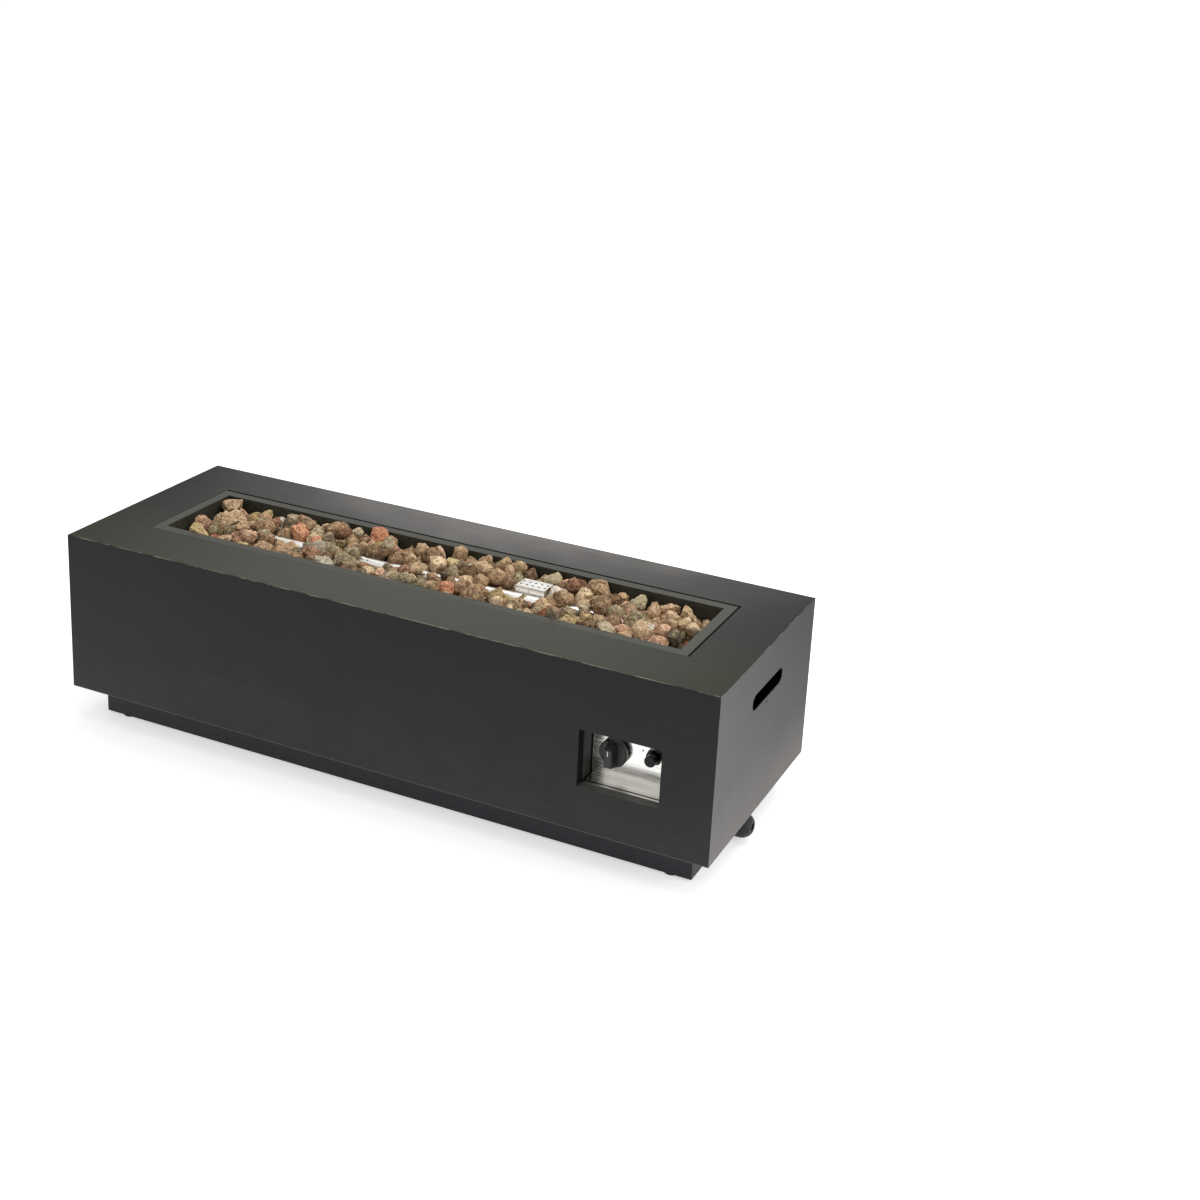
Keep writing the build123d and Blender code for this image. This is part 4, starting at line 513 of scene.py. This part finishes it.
FRONT_REACH_MM = 48.0  # how far in front of the tube or the guard the stones are kept low
STONE_SEED = 23
draws = np.random.default_rng(STONE_SEED)

pan_low, pan_high = (np.array(corner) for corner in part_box("burner_pan"))
guard_low, guard_high = (np.array(corner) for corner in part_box("ignition_guard"))
tube_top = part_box("burner_tube")[1][2]
floor_z = pan_low[2] + PAN_SHEET_MM * MM
mouth = pan_high[:2] - PAN_FLANGE_MM * MM

ball = np.clip(STONE_MEAN_MM * draws.lognormal(0, STONE_SPREAD, STONE_COUNT), *STONE_RADIUS_MM) * MM
spot = draws.uniform(-1, 1, (STONE_COUNT, 3)) * (*(mouth - POUR_MARGIN), POUR_HALF_HEIGHT)
spot[:, 2] += floor_z + POUR_MIDDLE
level = pan_high[2] + draws.normal(LEVEL_MM, LEVEL_SPREAD_MM, STONE_COUNT) * MM


def keep_out(spot, ball):
    """Moves each ball out of walls and floor, under its level, off the tube's bare stretches and off the guard."""
    lean = PAN_DRAFT_MM * MM * (pan_high[2] - np.minimum(spot[:, 2], pan_high[2])) / (pan_high[2] - floor_z)
    for axis in (0, 1):
        room = mouth[axis] - lean - ball
        spot[:, axis] = np.clip(spot[:, axis], -room, room)
    lid = level.copy()
    low_spans = [(start * MM, end * MM, 0.0, tube_top) for start, end in BARE_SPANS_MM]
    low_spans.append((guard_low[0], guard_high[0], guard_low[1], guard_high[2] - GUARD_SHOWS_MM * MM))
    for start, end, edge, most in low_spans:
        here = (spot[:, 0] > start) & (spot[:, 0] < end + ball)
        here &= (spot[:, 1] < edge) & (spot[:, 1] > edge - FRONT_REACH_MM * MM - ball)
        lid[here] = np.minimum(lid[here], most)
    spot[:, 2] = np.clip(spot[:, 2], floor_z + ball, np.maximum(lid, floor_z + 2 * ball) - ball)
    for start, end in BARE_SPANS_MM:
        aside = ball + BARE_HALF_WIDTH_MM * MM
        over = (np.abs(spot[:, 0] - (start + end) / 2 * MM) < (end - start) / 2 * MM + ball * BARE_END_SHARE)
        over &= np.abs(spot[:, 1]) < aside
        spot[over, 1] = np.where(spot[over, 1] < 0, -aside[over], aside[over])
    middle, half = (guard_low + guard_high) / 2, (guard_high - guard_low) / 2 + GUARD_ROOM_MM * MM
    depth = half[None, :2] + ball[:, None] - np.abs(spot[:, :2] - middle[:2])
    shortest = depth.argmin(axis=1)
    rows = np.flatnonzero((depth > 0).all(axis=1))
    way = np.sign(spot[rows, shortest[rows]] - middle[shortest[rows]])
    spot[rows, shortest[rows]] += way * depth[rows, shortest[rows]]


touch = (ball[:, None] + ball[None, :]) * OVERLAP
for _ in range(SETTLE_STEPS):
    spot[:, 2] -= SINK_MM * MM
    between = spot[:, None, :] - spot[None, :, :]
    gap = np.linalg.norm(between, axis=2)
    np.fill_diagonal(gap, 1.0)
    push = np.maximum(touch - gap, 0) * PUSH_SHARE
    spot += (between / gap[:, :, None] * push[:, :, None]).sum(axis=1)
    keep_out(spot, ball)
tops = (spot[:, 2] + ball - pan_high[2]) / MM
print("stones:", STONE_COUNT, "highest", round(tops.max(), 1), "mm over the rim, middle", round(np.median(tops), 1))

# %% [markdown]
# A lava stone is a broken lump with worn corners. Each one starts as a sphere on a grid of bearing and height. Its
# radius along a direction comes from ten random flats: with shares s of how squarely the direction meets each
# flat, over the flat's distance, the radius is one over the ninth root of the sum of their ninth powers, which is
# a polyhedron with soft corners. A small random change of every point roughens it. A stone that then stands too far
# over the rim is pressed down. With some sixty faces each, hundreds of stones stay light, and the pores come from
# the material.

# %% Shapes of the stones
BEARINGS, RINGS, FLATS, CORNER_POWER = 9, 6, 10, 9
FLAT_DISTANCES = (0.6, 1.0)  # smallest and largest, before a stone is scaled to its ball
RADIUS_LIMITS = (0.68, 1.32)  # shares of the mean radius
ROUGHENING, STRETCH = (0.87, 1.13), (0.84, 1.22)
HIGHEST_MM = 14.0  # no stone stands higher over the rim of the pan
SHARP_DEGREES = 48


def stone_grid():
    """Directions of a sphere, one row for each ring between the poles, then the two poles, and its faces."""
    bearing = np.arange(BEARINGS) * 2 * np.pi / BEARINGS
    tilt = (np.arange(RINGS) + 1) * np.pi / (RINGS + 1)
    ring = np.stack([
        np.outer(np.sin(tilt), np.cos(bearing)), np.outer(np.sin(tilt), np.sin(bearing)),
        np.outer(np.cos(tilt), np.ones(BEARINGS)),
    ], axis=-1).reshape(-1, 3)
    directions = np.vstack([ring, (0, 0, 1), (0, 0, -1)])
    here = np.arange(RINGS * BEARINGS).reshape(RINGS, BEARINGS)
    after = np.roll(here, -1, axis=1)
    quads = np.stack([here[:-1], here[1:], after[1:], after[:-1]], axis=-1).reshape(-1, 4)
    top, bottom = RINGS * BEARINGS, RINGS * BEARINGS + 1
    caps = np.vstack([
        np.stack([here[0], after[0], np.full(BEARINGS, top)], axis=-1),
        np.stack([after[-1], here[-1], np.full(BEARINGS, bottom)], axis=-1),
    ])
    return directions, quads, caps


def random_turns(count):
    """Random rotation matrices from unit quaternions w, x, y, z."""
    quaternions = draws.normal(size=(4, count))
    w, x, y, z = quaternions / np.linalg.norm(quaternions, axis=0)
    return np.stack([
        1 - 2 * (y * y + z * z), 2 * (x * y - w * z), 2 * (x * z + w * y),
        2 * (x * y + w * z), 1 - 2 * (x * x + z * z), 2 * (y * z - w * x),
        2 * (x * z - w * y), 2 * (y * z + w * x), 1 - 2 * (x * x + y * y),
    ], axis=-1).reshape(count, 3, 3)


directions, quads, caps = stone_grid()
flats = draws.normal(size=(STONE_COUNT, FLATS, 3))
flats /= np.linalg.norm(flats, axis=2, keepdims=True)
distances = draws.uniform(*FLAT_DISTANCES, (STONE_COUNT, FLATS, 1))
shares = np.maximum(np.einsum("skc,vc->skv", flats, directions), 0) / distances
radial = np.maximum((shares ** CORNER_POWER).sum(axis=1), 1e-3) ** (-1 / CORNER_POWER)
radial = np.clip(radial / radial.mean(axis=1, keepdims=True), *RADIUS_LIMITS)
radial *= draws.uniform(*ROUGHENING, radial.shape)
stretch = draws.uniform(*STRETCH, (STONE_COUNT, 1, 3))
points = directions[None] * radial[:, :, None] * stretch * ball[:, None, None]
points = np.einsum("sij,svj->svi", random_turns(STONE_COUNT), points) + spot[:, None, :]
too_high = points[:, :, 2].max(axis=1) - pan_high[2] - HIGHEST_MM * MM
points[:, :, 2] -= np.maximum(too_high, 0)[:, None]
print("stone shapes:", points.shape[1], "points and", len(quads) + len(caps), "faces each")
print("stones lowered:", (too_high > 0).sum())

# %% [markdown]
# Lava stone, or scoria, is frozen froth: dull, rough and full of pores. Most of it here is tan and brown, some is
# grey, a little is pink, ochre or rust red from its iron. Every stone gets its own shade from an attribute on its
# points. Noise of two sizes makes the blotches and the gritty skin, and the cells of a Voronoi pattern make the
# pores, which are dents, darkened with painted shade. A family of colour is one piece.

# %% Scoria
BLOTCH_MM, GRIT_MM, PORE_MM = 9.0, 2.4, 4.4
SKIN_TONE, SHADE_SHARE, BLOTCH_SHARE, GRIT_SHARE = -0.26, 0.36, 0.66, 0.5
# share of the painted shade in the pores
PORE_SHADE = 0.6
PORE_DENT, GRIT_RISE, SKIN_RELIEF_MM = -0.5, 0.4, 6.5
# family: share of the stones, dark, middle and light hex
SCORIA = {
    "tan": (0.36, "78604a", "ba9b78", "e6cca6"),
    "brown": (0.22, "64503c", "9c7e5f", "ccac87"),
    "grey": (0.2, "605342", "99896b", "c8b998"),
    "pink": (0.11, "805d49", "c1987a", "eac6a6"),
    "rust": (0.04, "784e38", "b87a5a", "dca47e"),
    "ochre": (0.04, "6f5d41", "ae976a", "d5bf90"),
    "pale": (0.03, "938773", "c8bda8", "e8dfcd"),
}


def scoria(name, dark, middle, light):
    """Porous stone: shade per stone, blotches and grit that mottle it, and pores that are dents, darkened with
    painted shade.
    """
    material, tree, place = new_finish(name)
    shade = add_node(tree, "Attribute", {}, attribute_name="stone_shade").outputs["Fac"]
    blotches, grit = (
        add_node(tree, "TexNoise", {"Vector": place, "Scale": per_metre(size)[0], "Detail": 3.0}).outputs["Fac"]
        for size in (BLOTCH_MM, GRIT_MM)
    )
    cells = add_node(tree, "TexVoronoi", {"Vector": place, "Scale": per_metre(PORE_MM)[0]}).outputs["Distance"]
    pore = add_node(
        tree, "MapRange", {"Value": cells, "From Min": 0.12, "From Max": 0.34, "To Min": 1.0, "To Max": 0.0}
    ).outputs["Result"]
    tone = SKIN_TONE
    for source, weight in ((shade, SHADE_SHARE), (blotches, BLOTCH_SHARE), (grit, GRIT_SHARE)):
        tone = add_node(tree, "Math", {0: source, 1: weight, 2: tone}, operation="MULTIPLY_ADD").outputs["Value"]
    skin = add_node(
        tree, "ValToRGB", {"Fac": tone}, stops=((0.3, dark), (0.5, middle), (0.72, light))
    ).outputs["Color"]
    pore_shade_share = add_node(tree, "Math", {0: pore, 1: PORE_SHADE}, operation="MULTIPLY").outputs["Value"]
    colour = add_node(tree, "Mix", {"Factor": pore_shade_share, 6: skin, 7: linear("2e2319")}, data_type="RGBA").outputs[2]
    height = blotches
    for source, weight in ((pore, PORE_DENT), (grit, GRIT_RISE)):
        height = add_node(tree, "Math", {0: source, 1: weight, 2: height}, operation="MULTIPLY_ADD").outputs["Value"]
    relief = add_node(
        tree, "Bump", {"Height": height, "Strength": 1.0, "Distance": SKIN_RELIEF_MM * MM}
    ).outputs["Normal"]
    close_finish(tree, {"Base Color": colour, "Roughness": 0.95, "Normal": relief, "Specular IOR Level": 0.2})
    return material


family = np.repeat(np.arange(len(SCORIA)), [1 + int(row[0] * STONE_COUNT) for row in SCORIA.values()])
family = draws.permutation(family)[:STONE_COUNT]
shades = draws.uniform(0.0, 1.0, STONE_COUNT)
for kind, (name, (_, dark, middle, light)) in enumerate(SCORIA.items()):
    members = np.flatnonzero(family == kind)
    count = directions.shape[0]
    shift = (np.arange(len(members)) * count)[:, None, None]
    faces = [*(quads + shift).reshape(-1, 4).tolist(), *(caps + shift).reshape(-1, 3).tolist()]
    mesh = bpy.data.meshes.new(f"lava_stones_{name}")
    mesh.from_pydata(points[members].reshape(-1, 3), [], faces)
    mesh.shade_smooth()
    mesh.set_sharp_from_angle(angle=math.radians(SHARP_DEGREES))
    mesh.attributes.new("stone_shade", "FLOAT", "POINT").data.foreach_set("value", np.repeat(shades[members], count))
    mesh.materials.append(scoria(f"porous_scoria_{name}", dark, middle, light))
    stones = bpy.data.objects.new(f"lava_stones_{name}", mesh)
    bpy.context.collection.objects.link(stones)
    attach(stones, "casing")
    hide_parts("lava_rocks")
    print("lava stones,", name, len(members), "stones,", len(faces), "faces")

# %% [markdown]
# The controls carry a little printing: a white line filled into the front of the knob's grip, the words at the
# valve's stops screened onto the plate, and a spark sign beside the igniter. Letters are a text curve turned into a
# mesh. The line and the sign are outlines in millimetres, carried a few hundredths of a millimetre forward, which
# gives a front face and a thin edge.

# %% Marks on the controls
INK_MM = 0.08
LINE_LENGTH_MM, LINE_WIDTH_MM, LINE_UP_MM, LINE_POINTS = 10.0, 1.8, 10.5, 28
LETTER_MM = 6.5
# places across and up, from the axis of the knob or of the igniter
SPARK_MM, HIGH_WORD_MM, OFF_WORD_MM = (-24.0, 4.0), (-39.0, 15.5), (0.0, 36.5)
knob_low, knob_high = (np.array(corner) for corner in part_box("control_knob"))
plate_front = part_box("control_plate")[0][1]
knob_axis = (knob_low + knob_high) / 2
igniter_axis = (np.array(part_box("igniter_button")[0]) + np.array(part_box("igniter_button")[1])) / 2


def beside(axis, face, place_mm):
    """Point on a front face, so many millimetres across and up from an axis."""
    return np.array((axis[0] + place_mm[0] * MM, face, axis[2] + place_mm[1] * MM))


def add_mark(name, mesh, finish, body):
    """Gives a finished flat mesh its ink and lets it ride on a body."""
    mesh.materials.clear()
    mesh.materials.append(plain[finish])
    mark = bpy.data.objects.new(name, mesh)
    bpy.context.collection.objects.link(mark)
    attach(mark, body)
    print("mark:", name, len(mesh.polygons), "faces")


def outline_mark(name, across, upward, place, finish, body):
    """Outline (across, upward) in mm at a place on a front face: back ring, front ring, edge quads, front face."""
    count = len(across)
    ring = np.stack([place[0] + across * MM, np.full(count, place[1]), place[2] + upward * MM], axis=1)
    front = ring - (0, INK_MM * MM, 0)
    here, after = np.arange(count), np.roll(np.arange(count), -1)
    edges = np.stack([here, after, after + count, here + count], axis=1).tolist()
    mesh = bpy.data.meshes.new(name)
    mesh.from_pydata(np.vstack([ring, front]), [], [*edges, (here + count).tolist()])
    add_mark(name, mesh, finish, body)


def letters_mark(name, words, place):
    """Letters: the text's X goes to X, its Y to Z and its thickness to -Y, about the place of its middle."""
    curve = bpy.data.curves.new(name, "FONT")
    curve.body, curve.size, curve.extrude = words, LETTER_MM * MM, INK_MM * MM / 2
    curve.align_x = curve.align_y = "CENTER"
    mesh = bpy.data.meshes.new_from_object(bpy.data.objects.new(name + "_text", curve))
    flat = np.empty(3 * len(mesh.vertices), np.float32)
    mesh.vertices.foreach_get("co", flat)
    across, upward, out = flat.reshape(-1, 3).T
    placed = np.stack([place[0] + across, place[1] - INK_MM * MM / 2 - out, place[2] + upward], axis=1)
    mesh.vertices.foreach_set("co", placed.ravel())
    mesh.update()
    add_mark(name, mesh, "screened_black_ink", "casing")


# the line's outline is an oval with flattened sides: powers of the cosine and the sine below one
turn = np.arange(LINE_POINTS) * 2 * np.pi / LINE_POINTS
line_across = np.abs(np.cos(turn)) ** 0.5 * np.sign(np.cos(turn)) * LINE_WIDTH_MM / 2
line_upward = np.abs(np.sin(turn)) ** 0.3 * np.sign(np.sin(turn)) * LINE_LENGTH_MM / 2
line_place = beside(knob_axis, knob_low[1], (0, LINE_UP_MM))
outline_mark("knob_line", line_across, line_upward, line_place, "filled_white_paint", "knob")
spark_across = np.array([-2.0, -0.3, -1.6, 2.0, 0.5, 2.2, -0.4])
spark_upward = np.array([-0.6, -0.6, -4.2, 1.0, 1.0, 4.0, 4.0])
spark_place = beside(igniter_axis, plate_front, SPARK_MM)
outline_mark("igniter_spark_sign", spark_across, spark_upward, spark_place, "screened_black_ink", "casing")
letters_mark("valve_high_word", "HI", beside(knob_axis, plate_front, HIGH_WORD_MM))
letters_mark("valve_off_word", "OFF", beside(knob_axis, plate_front, OFF_WORD_MM))

# %% [markdown]
# The studio is a white floor and a white world. Light Path lets the camera and mirror-like reflections see plain
# white there, while the light that falls on the object is set by itself: a wide softbox above and behind, another
# at the right, and the soft light of the world.

# %% Floor, world and lamps
FLOOR_REACH = 40.0  # metres
FLOOR_LIFT = 0.52  # what the camera sees added to the lit paper, so that it is white outside the shadow
AMBIENT = 0.6
LAMPS_AIM = Vector((0, 0, 0.3))
floor_mesh = bpy.data.meshes.new("studio_floor")
corners = np.array([(-1, -1, 0), (1, -1, 0), (1, 1, 0), (-1, 1, 0)]) * FLOOR_REACH
floor_mesh.from_pydata(corners, [], [(0, 1, 2, 3)])
floor = bpy.data.objects.new("studio_floor", floor_mesh)
bpy.context.collection.objects.link(floor)


def seen_plainly(tree):
    """One for camera, glossy and transmission rays, else zero."""
    ray = add_node(tree, "LightPath", {})
    seen = ray.outputs["Is Camera Ray"]
    for other in ("Is Glossy Ray", "Is Transmission Ray"):
        seen = add_node(tree, "Math", {0: seen, 1: ray.outputs[other]}, operation="MAXIMUM").outputs["Value"]
    return seen


paper, tree, _ = new_finish("matt_white_paper")
lift = add_node(tree, "Math", {0: seen_plainly(tree), 1: FLOOR_LIFT}, operation="MULTIPLY").outputs["Value"]
close_finish(tree, {
    "Base Color": linear("f2f2f2"), "Roughness": 0.95, "Specular IOR Level": 0.0,
    "Emission Color": linear("ffffff"), "Emission Strength": lift,
})
floor_mesh.materials.append(paper)

world = bpy.data.worlds.new("white_studio")
world.use_nodes = True
bpy.context.scene.world = world
tree = world.node_tree
tree.nodes.clear()
strength = add_node(
    tree, "MapRange",
    {"Value": seen_plainly(tree), "From Min": 0.0, "From Max": 1.0, "To Min": AMBIENT, "To Max": 1.0},
).outputs["Result"]
sky = add_node(tree, "Background", {"Color": linear("ffffff"), "Strength": strength})
add_node(tree, "OutputWorld", {"Surface": sky.outputs["Background"]})

# name: place, watts, width and depth in metres
LAMPS = {
    "softbox_above": ((0.5, 0.9, 3.2), 85, (3.2, 2.4)),
    "softbox_right": ((3.2, -0.2, 1.6), 22, (1.6, 1.6)),
}
for name, (place, watts, (width, depth)) in LAMPS.items():
    lamp_data = bpy.data.lights.new(name, "AREA")
    lamp_data.shape, lamp_data.size, lamp_data.size_y, lamp_data.energy = "RECTANGLE", width, depth, watts
    lamp = bpy.data.objects.new(name, lamp_data)
    bpy.context.collection.objects.link(lamp)
    lamp.location = place
    lamp.rotation_euler = (LAMPS_AIM - Vector(place)).to_track_quat("-Z", "Y").to_euler()
bpy.context.scene.view_settings.view_transform = "Standard"
print("studio:", len(LAMPS), "lamps, ambient", AMBIENT)
